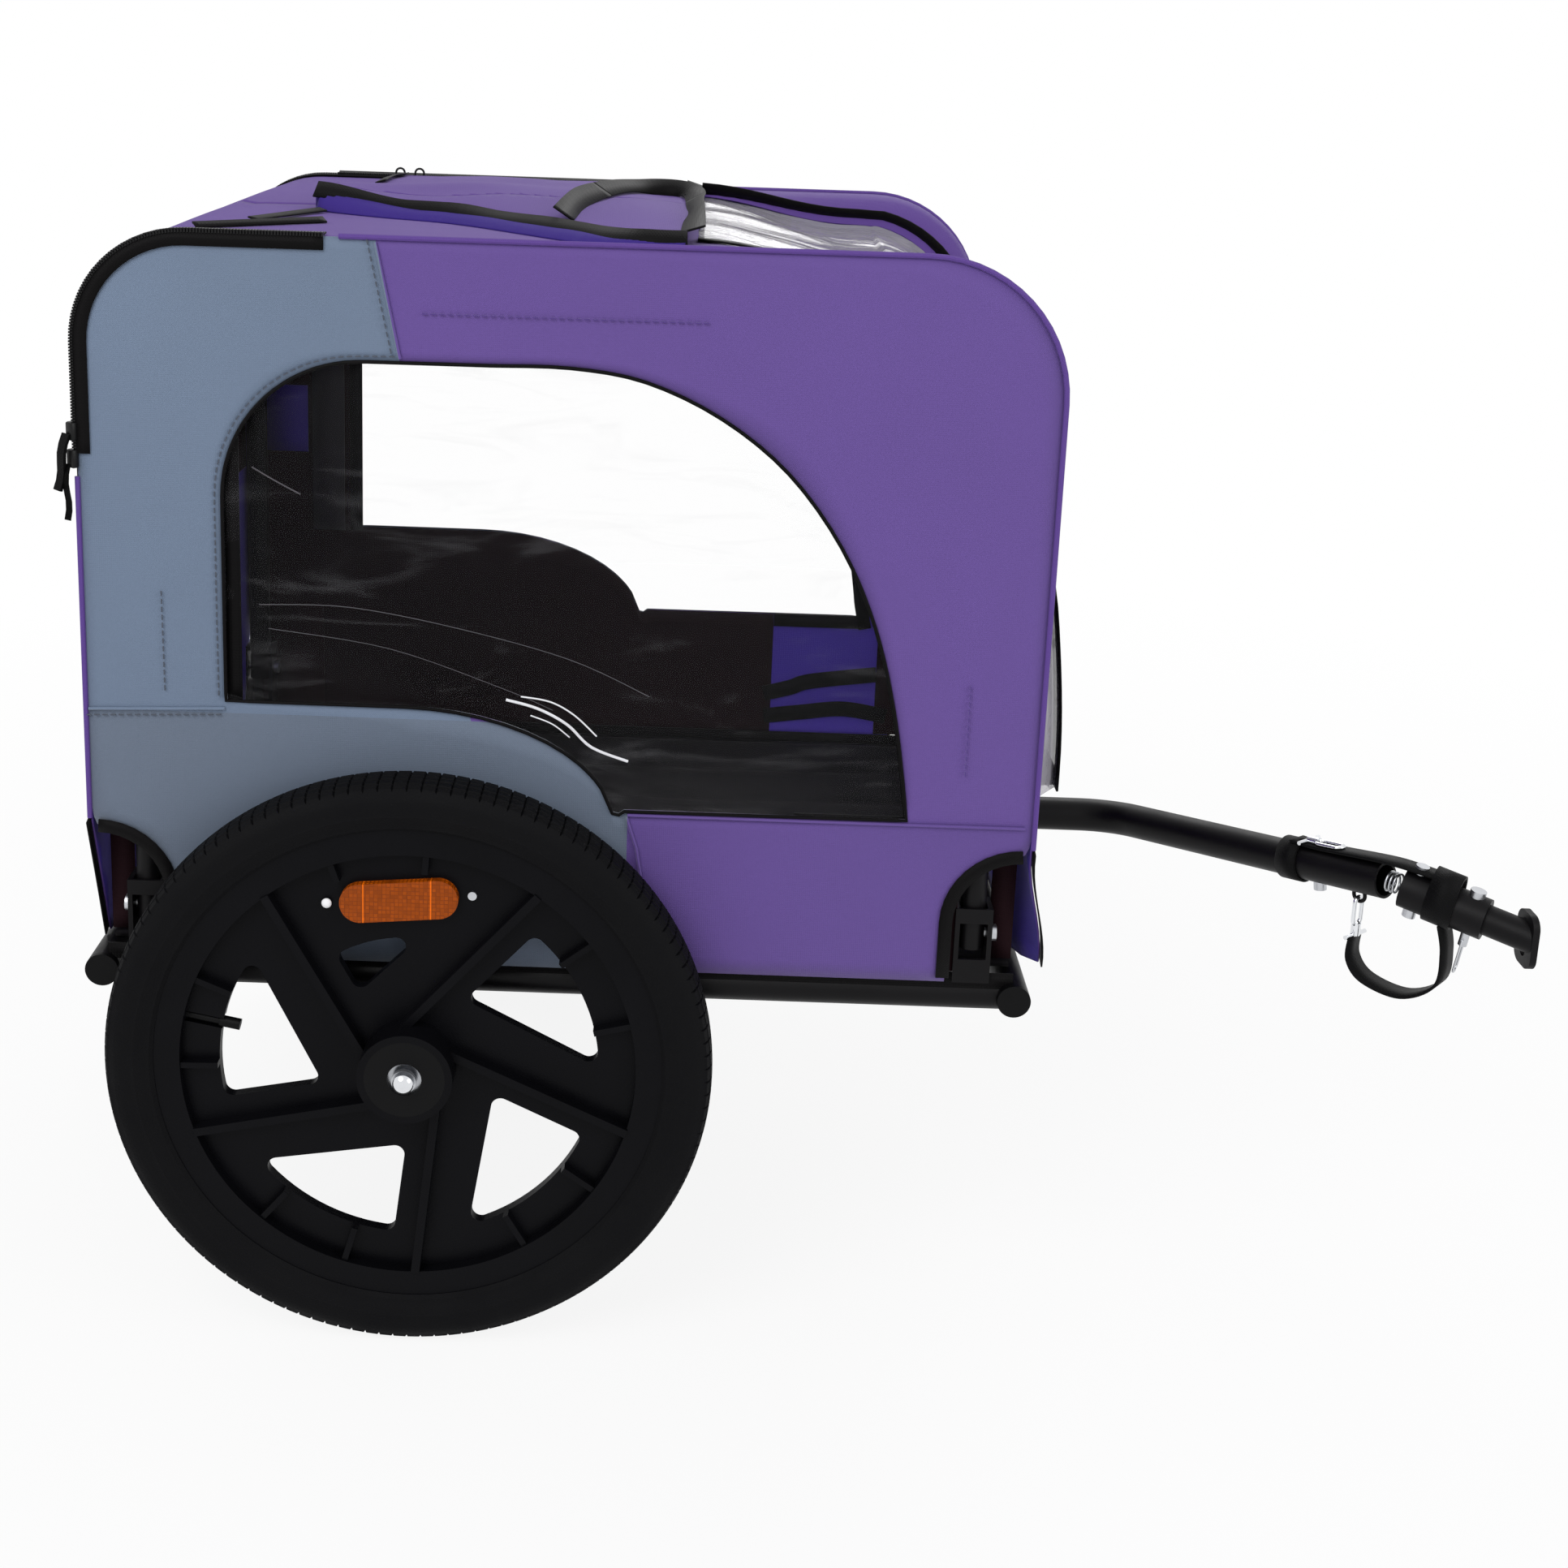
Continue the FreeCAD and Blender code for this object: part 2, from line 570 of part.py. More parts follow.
def cover_reflector(x, way, y, z):
    """Round-edged reflector block on the front or rear of the cover."""
    x_low, x_high = sorted((x, x + way * REFLECTOR_T))
    half_w, half_h = REFLECTOR_W / 2, REFLECTOR_H / 2
    body = block(at(x_low, y - half_w, z - half_h), at(x_high, y + half_w, z + half_h))
    edges = [e for e in body.Edges if abs(e.tangentAt(e.FirstParameter).x) > math.sqrt(1 / 2)]
    return body.makeFillet(REFLECTOR_ROUND, edges)


places = (("front_reflectors", COVER_FRONT_X, 1, REFLECTOR_FRONT_Z),
          ("rear_reflectors", COVER_REAR_X, -1, REFLECTOR_REAR_Z))
for name, x, way, z in places:
    parts[name] = group([cover_reflector(x, way, side * reflector_y, z) for _, side in SIDES])


# Wheel pieces, modelled about the origin with the outer face towards -Y
def revolved(outline):
    """Solid of revolution about the Y axis from points and arcs in radius and y."""
    edges = []
    for start, middle, end in outline:
        ends = [Vector(r, y, 0) for r, y in (start, end)]
        if middle is None:
            edges.append(Part.LineSegment(ends[0], ends[1]).toShape())
        else:
            edges.append(Part.Arc(ends[0], Vector(middle[0], middle[1], 0), ends[1]).toShape())
    return Part.Face(Part.Wire(edges)).revolve(Vector(0, 0, 0), Y, 360)


rim_r = WHEEL_R - TYRE_DEPTH
bead_r = rim_r - BEAD_DEPTH
rim_inner_r = rim_r - RIM_DEPTH
web_ring_r = rim_inner_r - WEB_RING_W
widest_r, shoulder_r = WHEEL_R - TYRE_WIDEST_DEPTH, WHEEL_R - TYRE_SHOULDER_DEPTH
bead_y = RIM_HALF_W - RIM_LIP - BEAD_GAP
bead = bead_r + BEAD_GAP
wide_in = TYRE_HALF_W - TYRE_WALL
flank_r = rim_r + BEAD_GAP
tyre = revolved((
    ((bead, -bead_y), None, (flank_r, -bead_y)),
    ((flank_r, -bead_y), (widest_r, -TYRE_HALF_W), (shoulder_r, -TYRE_SHOULDER_HALF_W)),
    ((shoulder_r, -TYRE_SHOULDER_HALF_W), (WHEEL_R, 0), (shoulder_r, TYRE_SHOULDER_HALF_W)),
    ((shoulder_r, TYRE_SHOULDER_HALF_W), (widest_r, TYRE_HALF_W), (flank_r, bead_y)),
    ((flank_r, bead_y), None, (bead, bead_y)),
    ((bead, bead_y), None, (bead, bead_y - TYRE_WALL)),
    ((bead, bead_y - TYRE_WALL), None, (flank_r, bead_y - TYRE_WALL)),
    ((flank_r, bead_y - TYRE_WALL), (widest_r, wide_in), (WHEEL_R - TYRE_WALL * 2, 0)),
    ((WHEEL_R - TYRE_WALL * 2, 0), (widest_r, -wide_in), (flank_r, TYRE_WALL - bead_y)),
    ((flank_r, TYRE_WALL - bead_y), None, (bead, TYRE_WALL - bead_y)),
    ((bead, TYRE_WALL - bead_y), None, (bead, -bead_y)),
))

lip_y = RIM_HALF_W - RIM_LIP
channel = revolved((
    ((rim_inner_r, -RIM_HALF_W), None, (rim_r, -RIM_HALF_W)),
    ((rim_r, -RIM_HALF_W), None, (rim_r, -lip_y)),
    ((rim_r, -lip_y), None, (bead_r, -lip_y)),
    ((bead_r, -lip_y), None, (bead_r, lip_y)),
    ((bead_r, lip_y), None, (rim_r, lip_y)),
    ((rim_r, lip_y), None, (rim_r, RIM_HALF_W)),
    ((rim_r, RIM_HALF_W), None, (rim_inner_r, RIM_HALF_W)),
    ((rim_inner_r, RIM_HALF_W), None, (rim_inner_r, -RIM_HALF_W)),
))


def disc(radius, y_low, y_high):
    """Cylinder about the wheel's axis."""
    return rod(radius, Vector(0, y_low, 0), Vector(0, y_high, 0))


spoke_run = web_ring_r - HUB_R
gap_in_r = HUB_R + spoke_run * WINDOW_IN_SHARE
plate_in_r = HUB_R + spoke_run * PLATE_IN_SHARE
gap_reach_r = web_ring_r + WINDOW_REACH


def spoke_gap(index):
    """Rounded three-sided opening between two spokes."""
    turn = index * 360 / SPOKES
    corners = [polar(gap_in_r, WINDOW_IN_DEG + turn), polar(gap_reach_r, WINDOW_LEAD_DEG + turn),
               polar(gap_reach_r, WINDOW_TRAIL_DEG + turn)]
    ring = plate_in_r if index == REFLECTOR_SPOKE else web_ring_r
    cutter = prism(Part.makePolygon(corners + corners[:1]), -WEB_T, WEB_T).common(disc(ring, -WEB_T, WEB_T))
    upright = [e for e in cutter.Edges if abs(e.tangentAt(e.FirstParameter).y) > math.sqrt(1 / 2)]
    return cutter.makeFillet(WINDOW_FILLET, upright)


def rib(inner, outer, width, y_face, height):
    """Straight rib standing on the web's outer face."""
    along = outer - inner
    across = along.cross(Y).normalize() * (width / 2)
    foot = Part.makePolygon([inner + across, outer + across, outer - across, inner - across, inner + across])
    return prism(foot, y_face - height, 0)


web = disc(rim_inner_r, -WEB_T / 2, WEB_T / 2)
for index in range(SPOKES):
    web = web.cut(spoke_gap(index))
wheel_pieces = [channel, web, disc(HUB_R, -HUB_HALF_W, HUB_HALF_W)]
for index in range(SPOKES):
    turn = index * 360 / SPOKES
    inner, outer = polar(RIB_IN_R, RIB_IN_DEG + turn), polar(rim_inner_r + RIB_SINK, RIB_OUT_DEG + turn)
    wheel_pieces.append(rib(inner, outer, RIB_W, -WEB_T / 2, RIB_H))
    for degrees in STUB_RIB_DEGS:
        stub_in = rim_inner_r - STUB_NEAR_LENGTH if index == STUB_NEAR else web_ring_r
        inner, outer = polar(stub_in, degrees + turn), polar(rim_inner_r, degrees + turn)
        wheel_pieces.append(rib(inner, outer, STUB_RIB_W, -WEB_T / 2, STUB_RIB_H))
rim = fused(wheel_pieces)

bearing_in = HUB_HALF_W - BEARING_RECESS - BEARING_W
rim = rim.cut(disc(HUB_BORE_R, -HUB_HALF_W - OVERRUN, HUB_HALF_W + OVERRUN))
rim = rim.cut(disc(BEARING_R, bearing_in, HUB_HALF_W + OVERRUN))
rim = rim.cut(disc(BEARING_R, -HUB_HALF_W - OVERRUN, -bearing_in))
cap_y = -HUB_HALF_W
rim = rim.cut(disc(HUB_CAP_R, cap_y - OVERRUN, cap_y + HUB_CAP_T))
cap_hole = disc(HUB_CAP_HOLE_R, cap_y - OVERRUN, cap_y + OVERRUN)
hub_cap = disc(HUB_CAP_R, cap_y, cap_y + HUB_CAP_T).cut(cap_hole)

valve_out = polar(rim_inner_r, VALVE_DEG)
valve_in_r = rim_inner_r - VALVE_LENGTH
valve_tip = polar(valve_in_r, VALVE_DEG)
cap_start = polar(valve_in_r + VALVE_CAP_LENGTH, VALVE_DEG)
valve = fused([rod(VALVE_R, valve_out, valve_tip), rod(VALVE_CAP_R, cap_start, valve_tip)])
web_slot = rod(VALVE_CAP_R + VALVE_R / 2, valve_out, polar(valve_in_r - VALVE_R, VALVE_DEG))
rim = rim.cut(web_slot)

bearings = []
for way in (-1, 1):
    y_low, y_high = sorted((way * bearing_in, way * (bearing_in + BEARING_W)))
    bearings.append(disc(BEARING_R, y_low, y_high).cut(disc(AXLE_R + AXLE_GAP, y_low, y_high)))

amber_y = -WEB_T / 2 - AMBER_T
amber_centre = polar(rim_inner_r - AMBER_IN, AMBER_DEG)
amber_half = (AMBER_LENGTH - AMBER_W) / 2
amber_low = Vector(-amber_half, amber_y, -AMBER_W / 2)
amber_high = Vector(amber_half, amber_y + AMBER_T, AMBER_W / 2)
amber_parts = [block(amber_low, amber_high)]
for way in (-1, 1):
    end_face = Vector(way * amber_half, amber_y, 0)
    amber_parts.append(rod(AMBER_W / 2, end_face, end_face + Y * AMBER_T))
amber = fused(amber_parts)
amber.rotate(Vector(0, 0, 0), Y, -AMBER_TURN)
amber.translate(amber_centre)
screw_arm = polar(SCREW_REACH, AMBER_TURN)
screw_seat = amber_centre + screw_arm - Y * (WEB_T / 2)
screw = rod(SCREW_R, screw_seat, screw_seat - Y * SCREW_T)
screw_hole = amber_centre - screw_arm
rim = rim.cut(rod(SCREW_R, screw_hole - Y * OVERRUN, screw_hole + Y * OVERRUN))

# Wheels, axles, release buttons and the sockets that take the axles
wheel_nodes = (("tyre", tyre), ("wheel", rim), ("hub_cap", hub_cap), ("wheel_bearings", group(bearings)),
               ("wheel_reflector", amber), ("reflector_screw", screw), ("valve", valve))
head_y = HUB_HALF_W + AXLE_HEAD_GAP
head_face_y = head_y + AXLE_HEAD_T
for name, side in SIDES:
    for node, shape in wheel_nodes:
        parts[name + "_" + node] = turned_about_axle(shape, side)
    hub_face = wheel_y + head_y
    head_face = wheel_y + head_face_y
    socket_in = socket_out_y - SOCKET_LENGTH
    shaft = rod(AXLE_R, at(0, socket_in, 0), at(0, hub_face, 0))
    head = rod(AXLE_HEAD_R, at(0, hub_face, 0), at(0, head_face, 0))
    stem_end = head_face - STEM_LENGTH
    bore_in = stem_end - BUTTON_TRAVEL - AXLE_HEAD_GAP
    axle = fused([shaft, head]).cut(rod(STEM_R, at(0, bore_in, 0), at(0, head_face + OVERRUN, 0)))
    dome_base = head_face + BUTTON_TRAVEL + AXLE_HEAD_GAP
    ball_r = (BUTTON_R ** 2 + BUTTON_DOME ** 2) / (BUTTON_DOME * 2)
    ball = Part.makeSphere(ball_r, at(0, dome_base + BUTTON_DOME - ball_r, 0))
    dome = ball.common(rod(BUTTON_R + OVERRUN, at(0, dome_base, 0), at(0, dome_base + OVERRUN, 0)))
    stem = rod(STEM_R - STEM_GAP, at(0, stem_end, 0), at(0, dome_base, 0))
    socket = pipe(SOCKET_R, SOCKET_R - AXLE_R, at(0, socket_in, 0), at(0, socket_out_y, 0))
    plate = block(at(-PLATE_HALF_W, rail_y - PLATE_T / 2, -PLATE_LOW),
                  at(PLATE_HALF_W, rail_y + PLATE_T / 2, RAIL_Z))
    plate_reach = PLATE_HALF_W + OVERRUN
    plate = plate.cut(rod(RAIL_R, at(-plate_reach, rail_y, RAIL_Z), at(plate_reach, rail_y, RAIL_Z)))
    plate = plate.cut(rod(AXLE_R, at(0, socket_in, 0), at(0, socket_out_y, 0)))
    made = (("axle", axle), ("release_button", fused([dome, stem])),
            ("wheel_bracket", fused([plate, socket])))
    for node, shape in made:
        parts[name + "_" + node] = mirrored(shape, side)

# Tow arm, the bracket that holds it and its pivot bolt
pivot = at(pivot_x, ARM_Y, ARM_Z)
flex = at(flex_x, FLEX_Y, FLEX_Z)
bend = at(pivot_x + ARM_BEND_OUT, ARM_Y, ARM_Z)
arm_way = (flex - bend).normalize()
tail = pivot - X * ARM_TAIL
arm_end = flex - arm_way * FLEX_HALF
arm = swept(rounded_path([tail, bend, arm_end], (ARM_BEND_R,)), ARM_R, ARM_WALL)
arm_half = ARM_R + ARM_SIDE_GAP
bracket_top = arm_half + BRACKET_T
arm = arm.cut(rod(PIVOT_R + PIN_GAP, pivot - Z * bracket_top, pivot + Z * bracket_top))
bracket_nose = pivot_x + BRACKET_FRONT
shell = block(at(FRONT_TUBE_X, ARM_Y - BRACKET_HALF_W, ARM_Z - bracket_top),
              at(bracket_nose, ARM_Y + BRACKET_HALF_W, ARM_Z + bracket_top))
room_x = pivot_x - ARM_TAIL - ARM_R
room_half_w = BRACKET_HALF_W + OVERRUN
room = block(at(room_x, ARM_Y - room_half_w, ARM_Z - arm_half),
             at(bracket_nose + OVERRUN, ARM_Y + room_half_w, ARM_Z + arm_half))
shell = shell.cut(room)
shell = shell.cut(rod(RAIL_R, at(FRONT_TUBE_X, -reach_y, RAIL_Z), at(FRONT_TUBE_X, reach_y, RAIL_Z)))
shell = shell.cut(rod(PIVOT_R, pivot - Z * (bracket_top + OVERRUN), pivot + Z * (bracket_top + OVERRUN)))
parts["arm_bracket"] = max(shell.Solids, key=lambda s: s.Volume)
pivot_bolt = [rod(PIVOT_R, pivot - Z * bracket_top, pivot + Z * bracket_top)]
for way in (-1, 1):
    seat = pivot + Z * (way * bracket_top)
    pivot_bolt.append(rod(PIVOT_HEAD_R, seat, seat + Z * (way * PIVOT_HEAD_T)))
parts["arm_pivot_bolt"] = fused(pivot_bolt)

# Bolt through the arm, square to it, flush on top and with a nut below
side_way = arm_way.cross(Z).normalize()
up_way = side_way.cross(arm_way)


def cross_bolt(centre, way, radius, tube, head):
    """Bolt across a tube, with a nut below it and, if asked for, a head above."""
    reach = way * (radius + OVERRUN)
    shank = rod(ARM_BOLT_R, centre - reach, centre + reach).common(tube)
    pieces = [shank]
    for turn in (-1, 1) if head else (-1,):
        seat = centre + way * (turn * radius)
        nut = rod(ARM_NUT_R, seat - way * (turn * ARM_BOLT_R), seat + way * (turn * ARM_NUT_T)).cut(tube)
        pieces.append(nut)
    return fused(pieces)


arm_core = rod(ARM_R, bend, arm_end)
arm_bolt_at = flex - arm_way * ARM_BOLT_BACK
parts["arm_bolt"] = cross_bolt(arm_bolt_at, up_way, ARM_R, arm_core, False)
bolt_reach = up_way * (ARM_R + OVERRUN)
arm = arm.cut(rod(ARM_BOLT_R, arm_bolt_at - bolt_reach, arm_bolt_at + bolt_reach))

# Spring between the arm and the hitch: one helix along the line that halves the kink
plate_back = at(hitch_x - HITCH_PLATE_T, HITCH_Y, HITCH_Z)
hitch_way = (plate_back - flex).normalize()
spring_way = (arm_way + hitch_way).normalize()
spring_in = (hitch_way - arm_way).normalize()
spring_up = spring_in.cross(spring_way)
tilt = arm_way.getAngle(hitch_way) / 2
coil_room = FLEX_HALF - SPRING_R * math.sin(tilt) - SPRING_WIRE_R - SPRING_END_GAP
coil_half = coil_room / math.cos(tilt)
corner_count = SPRING_TURNS * TURN_CORNERS
corner_r = SPRING_R / math.cos(math.pi / TURN_CORNERS)
helix = []
for index in range(corner_count + 2):
    angle = math.pi * 2 * (index - 1 / 2) / TURN_CORNERS
    rise = coil_half * ((index - 1 / 2) / corner_count * 2 - 1)
    spoke = spring_in * math.cos(angle) + spring_up * math.sin(angle)
    helix.append(flex + spring_way * rise + spoke * corner_r)
helix[0] = (helix[0] + helix[1]) / 2
helix[-1] = (helix[-1] + helix[-2]) / 2
spring_path = rounded_path(helix, snug_radii(helix))
parts["hitch_spring"] = wire_rod(spring_path, SPRING_WIRE_R)
turn_points = spring_path.discretize(Number=corner_count * CORNER_SAMPLES)
half_turn = len(turn_points) // (SPRING_TURNS * 2)
gaps = [p.distanceToPoint(q) for i, p in enumerate(turn_points) for q in turn_points[i + half_turn:]]
print("least gap between the spring's turns", round(min(gaps) - SPRING_WIRE_R * 2, 2))

# Coupler sleeve, insert, hitch plate, and the pin and clip that hold them together
sleeve_start = flex + hitch_way * FLEX_HALF
sleeve_end = sleeve_start + hitch_way * SLEEVE_LENGTH
insert_start = sleeve_start + hitch_way * INSERT_START
insert_bore = rod(INSERT_R + INSERT_GAP, insert_start, sleeve_end + hitch_way * OVERRUN)
sleeve = rod(SLEEVE_R, sleeve_start, sleeve_end).cut(insert_bore)
insert = rod(INSERT_R, insert_start, plate_back + hitch_way * OVERRUN)
hitch_top, hitch_low = HITCH_Z + HITCH_PLATE_TOP, HITCH_Z - HITCH_PLATE_LOW
room_low = at(hitch_x - HITCH_PLATE_T, HITCH_Y - HITCH_PLATE_W * 2, hitch_low - OVERRUN)
room_high = at(hitch_x + OVERRUN * 2, HITCH_Y + HITCH_PLATE_W * 2, hitch_top + OVERRUN)
insert = insert.cut(block(room_low, room_high))
pin_centre = sleeve_start + hitch_way * HITCH_PIN_ALONG
hitch_side = hitch_way.cross(Z).normalize()
hitch_up = hitch_side.cross(hitch_way)
pin_top, pin_low = pin_centre + hitch_up * SLEEVE_R, pin_centre - hitch_up * (SLEEVE_R + HITCH_PIN_TAIL)
pin_hole = rod(HITCH_PIN_R, pin_low - hitch_up * OVERRUN, pin_top + hitch_up * OVERRUN)
coupler_bolt_at = sleeve_start + hitch_way * COUPLER_BOLT_ALONG
sleeve_core = rod(SLEEVE_R, sleeve_start, sleeve_end)
parts["coupler_bolt"] = cross_bolt(coupler_bolt_at, hitch_up, SLEEVE_R, sleeve_core, True)
bolt_reach = hitch_up * (SLEEVE_R + OVERRUN)
bolt_hole = rod(ARM_BOLT_R, coupler_bolt_at - bolt_reach, coupler_bolt_at + bolt_reach)
parts["coupler_sleeve"] = sleeve.cut(pin_hole).cut(bolt_hole)
head_low, head_top = pin_top - hitch_up * HITCH_PIN_SEAT, pin_top + hitch_up * BOLT_HEAD_T
head = rod(BOLT_HEAD_R, head_low, head_top).cut(sleeve_core)
pin = fused([rod(HITCH_PIN_R, pin_low, pin_top + hitch_up * HITCH_PIN_SEAT), head])
clip_at = pin_low + hitch_up * (HITCH_PIN_TAIL / 2)
clip_drop = hitch_up * CLIP_LENGTH
clip_ends = [clip_at + hitch_side * CLIP_HALF_W, clip_at - hitch_side * CLIP_HALF_W]
clip_path = rounded_path([clip_ends[0], clip_ends[0] - clip_drop, clip_ends[1] - clip_drop, clip_ends[1]],
                         (CLIP_BEND, CLIP_BEND))
clip_bar = rod(CLIP_WIRE_R, clip_ends[0], clip_ends[1])
parts["hitch_pin_clip"] = fused([wire_rod(clip_path, CLIP_WIRE_R), clip_bar])
parts["hitch_pin"] = pin.cut(clip_bar)

plate = block(at(hitch_x - HITCH_PLATE_T, HITCH_Y - HITCH_PLATE_W / 2, hitch_low),
              at(hitch_x, HITCH_Y + HITCH_PLATE_W / 2, hitch_top))
edges = [e for e in plate.Edges if abs(e.tangentAt(e.FirstParameter).x) > math.sqrt(1 / 2)]
plate = plate.makeFillet(HITCH_PLATE_ROUND, edges)
hole_z = HITCH_Z - HITCH_HOLE_DROP
hole_start, hole_end = at(hitch_x - OVERRUN, HITCH_Y, hole_z), at(hitch_x + OVERRUN, HITCH_Y, hole_z)
plate = plate.cut(rod(HITCH_HOLE_R, hole_start, hole_end))
parts["axle_hitch"] = fused([insert.cut(pin_hole), plate])


# Snap hooks: one hangs from a welded eye under the arm, one lies along the top of the arm
def snap_hook(start, way, side):
    """Wire loop, swivel barrel and webbing bar, from the loop's far end along way."""
    reach = SNAP_HALF_W * 2 + SNAP_LOOP
    left, right = side * SNAP_HALF_W, side * -SNAP_HALF_W
    far, near = start, start + way * reach
    middle = start + way * (reach / 2) + left
    corners = [middle, far + left, far + right, near + right, near + left, middle]
    ring = wire_rod(rounded_path(corners, (SNAP_HALF_W,) * (len(corners) - 2)), SNAP_WIRE_R)
    barrel_end = near + way * SNAP_BARREL
    barrel = rod(SNAP_BARREL_R, near - way * SNAP_WIRE_R, barrel_end)
    bar = rod(SNAP_WIRE_R, barrel_end + side * SNAP_BAR_HALF, barrel_end - side * SNAP_BAR_HALF)
    return fused([ring, barrel, bar])


eye_at = flex - arm_way * EYE_BACK - up_way * (ARM_R + EYE_R / 2)
eye = Part.makeTorus(EYE_R, EYE_WIRE_R, eye_at, side_way).cut(rod(ARM_R - ARM_WALL / 2, bend, arm_end))
parts["tow_arm"] = fused([arm, eye])
hook_top = eye_at - Z * (EYE_R - EYE_WIRE_R - SNAP_WIRE_R - SNAP_GAP)
lower_hook = snap_hook(hook_top, -Z, side_way)
hook_length = SNAP_HALF_W * 2 + SNAP_LOOP + SNAP_BARREL + SNAP_WIRE_R
upper_back = BAND_BACK - STRAP_W / 2 - SNAP_GAP - hook_length
upper_start = flex - arm_way * upper_back + up_way * (ARM_R + SNAP_BARREL_R + SNAP_GAP)
upper_hook = snap_hook(upper_start, -arm_way, side_way)
parts["snap_hooks"] = group([lower_hook, upper_hook])


def webbing_ring(centre, way, radius):
    """Webbing wrapped once round a tube."""
    start, end = centre - way * (STRAP_W / 2), centre + way * (STRAP_W / 2)
    return pipe(radius + STRAP_GAP + STRAP_T, STRAP_T, start, end)


parts["arm_webbing"] = webbing_ring(flex - arm_way * BAND_BACK, arm_way, ARM_R)

# The strap's loop lies in the upright plane through the hook's bar and the sleeve
bar_at = hook_top - Z * (SNAP_HALF_W * 2 + SNAP_LOOP + SNAP_BARREL)
strap_top = bar_at - Z * (SNAP_WIRE_R + SNAP_GAP)
ring_at = sleeve_start + hitch_way * STRAP_ALONG
ring = webbing_ring(ring_at, hitch_way, SLEEVE_R)
ring_low = ring_at - hitch_up * (SLEEVE_R + STRAP_GAP + STRAP_T / 2)
run = Vector(ring_low.x - strap_top.x, ring_low.y - strap_top.y, 0)
loop = [strap_top]
for along_share, drop_share in LOOP_SHARES:
    level = strap_top + run * along_share
    loop.append(Vector(level.x, level.y, ring_low.z - STRAP_DROP * drop_share))
loop.append(ring_low)
loop_path = rounded_path(loop, snug_radii(loop))
across = run.cross(Z).normalize() * (STRAP_W / 2)
start_way = (loop[1] - loop[0]).normalize()
thick = start_way.cross(across).normalize() * (STRAP_T / 2)
corners = [strap_top + across + thick, strap_top - across + thick,
           strap_top - across - thick, strap_top + across - thick]
ribbon = loop_path.makePipeShell([Part.makePolygon(corners + corners[:1])], True, False)
sleeve_room = rod(SLEEVE_R + STRAP_GAP, sleeve_start, sleeve_end)
parts["safety_strap"] = fused([ring, ribbon.cut(sleeve_room)])


# Roof flap: cloth that lies in two loose folds on the roof
def fold_section(along_share, right_share, left_share):
    """Cross-section of the folded flap, with a crest on each side of the valley."""
    x = ROOF_FLAP_REAR_X + (ROOF_FLAP_FRONT_X - ROOF_FLAP_REAR_X) * along_share
    low = COVER_TOP_Z + CLOTH_GAP
    hem = low + ROOF_FLAP_EDGE
    valley_y = ROOF_FLAP_RIGHT_Y + (ROOF_FLAP_LEFT_Y - ROOF_FLAP_RIGHT_Y) * ROOF_VALLEY_SHARE
    stops = (ROOF_FLAP_RIGHT_Y, valley_y, ROOF_FLAP_LEFT_Y)
    edges = [Part.LineSegment(at(x, stops[2], low), at(x, stops[0], low)),
             Part.LineSegment(at(x, stops[0], low), at(x, stops[0], hem))]
    for start, end, crest in zip(stops, stops[1:], (right_share, left_share)):
        top = at(x, (start + end) / 2, hem + ROOF_FLAP_RISE * crest)
        edges.append(Part.Arc(at(x, start, hem), top, at(x, end, hem)))
    edges.append(Part.LineSegment(at(x, stops[2], hem), at(x, stops[2], low)))
    return Part.Wire([edge.toShape() for edge in edges])


parts["roof_flap"] = Part.makeLoft([fold_section(*row) for row in ROOF_FOLD_SHARES], True, False)

os.makedirs("parts", exist_ok=True)
for name, shape in parts.items():
    shape.exportStep("parts/" + name + ".step")
box = Part.makeCompound(list(parts.values())).BoundBox
sizes = [round(value) for value in (box.XLength, box.YLength, box.ZLength)]
print(len(parts), "nodes, box", sizes)
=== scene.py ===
# %% [markdown]
# # A dog bike trailer
# The construction comes packed from CAD: tubes, brackets, wheels, arm and hitch, at their real size. This
# lesson dresses it. The cloth, the clear vinyl, the tyres and the webbing are modelled here, and every
# hard piece gets a finish made of nodes. Everything stands in metres in the frame of the CAD model.

# %% Load the frame
import math

import bmesh
import bpy
from mathutils import Matrix, Vector, noise


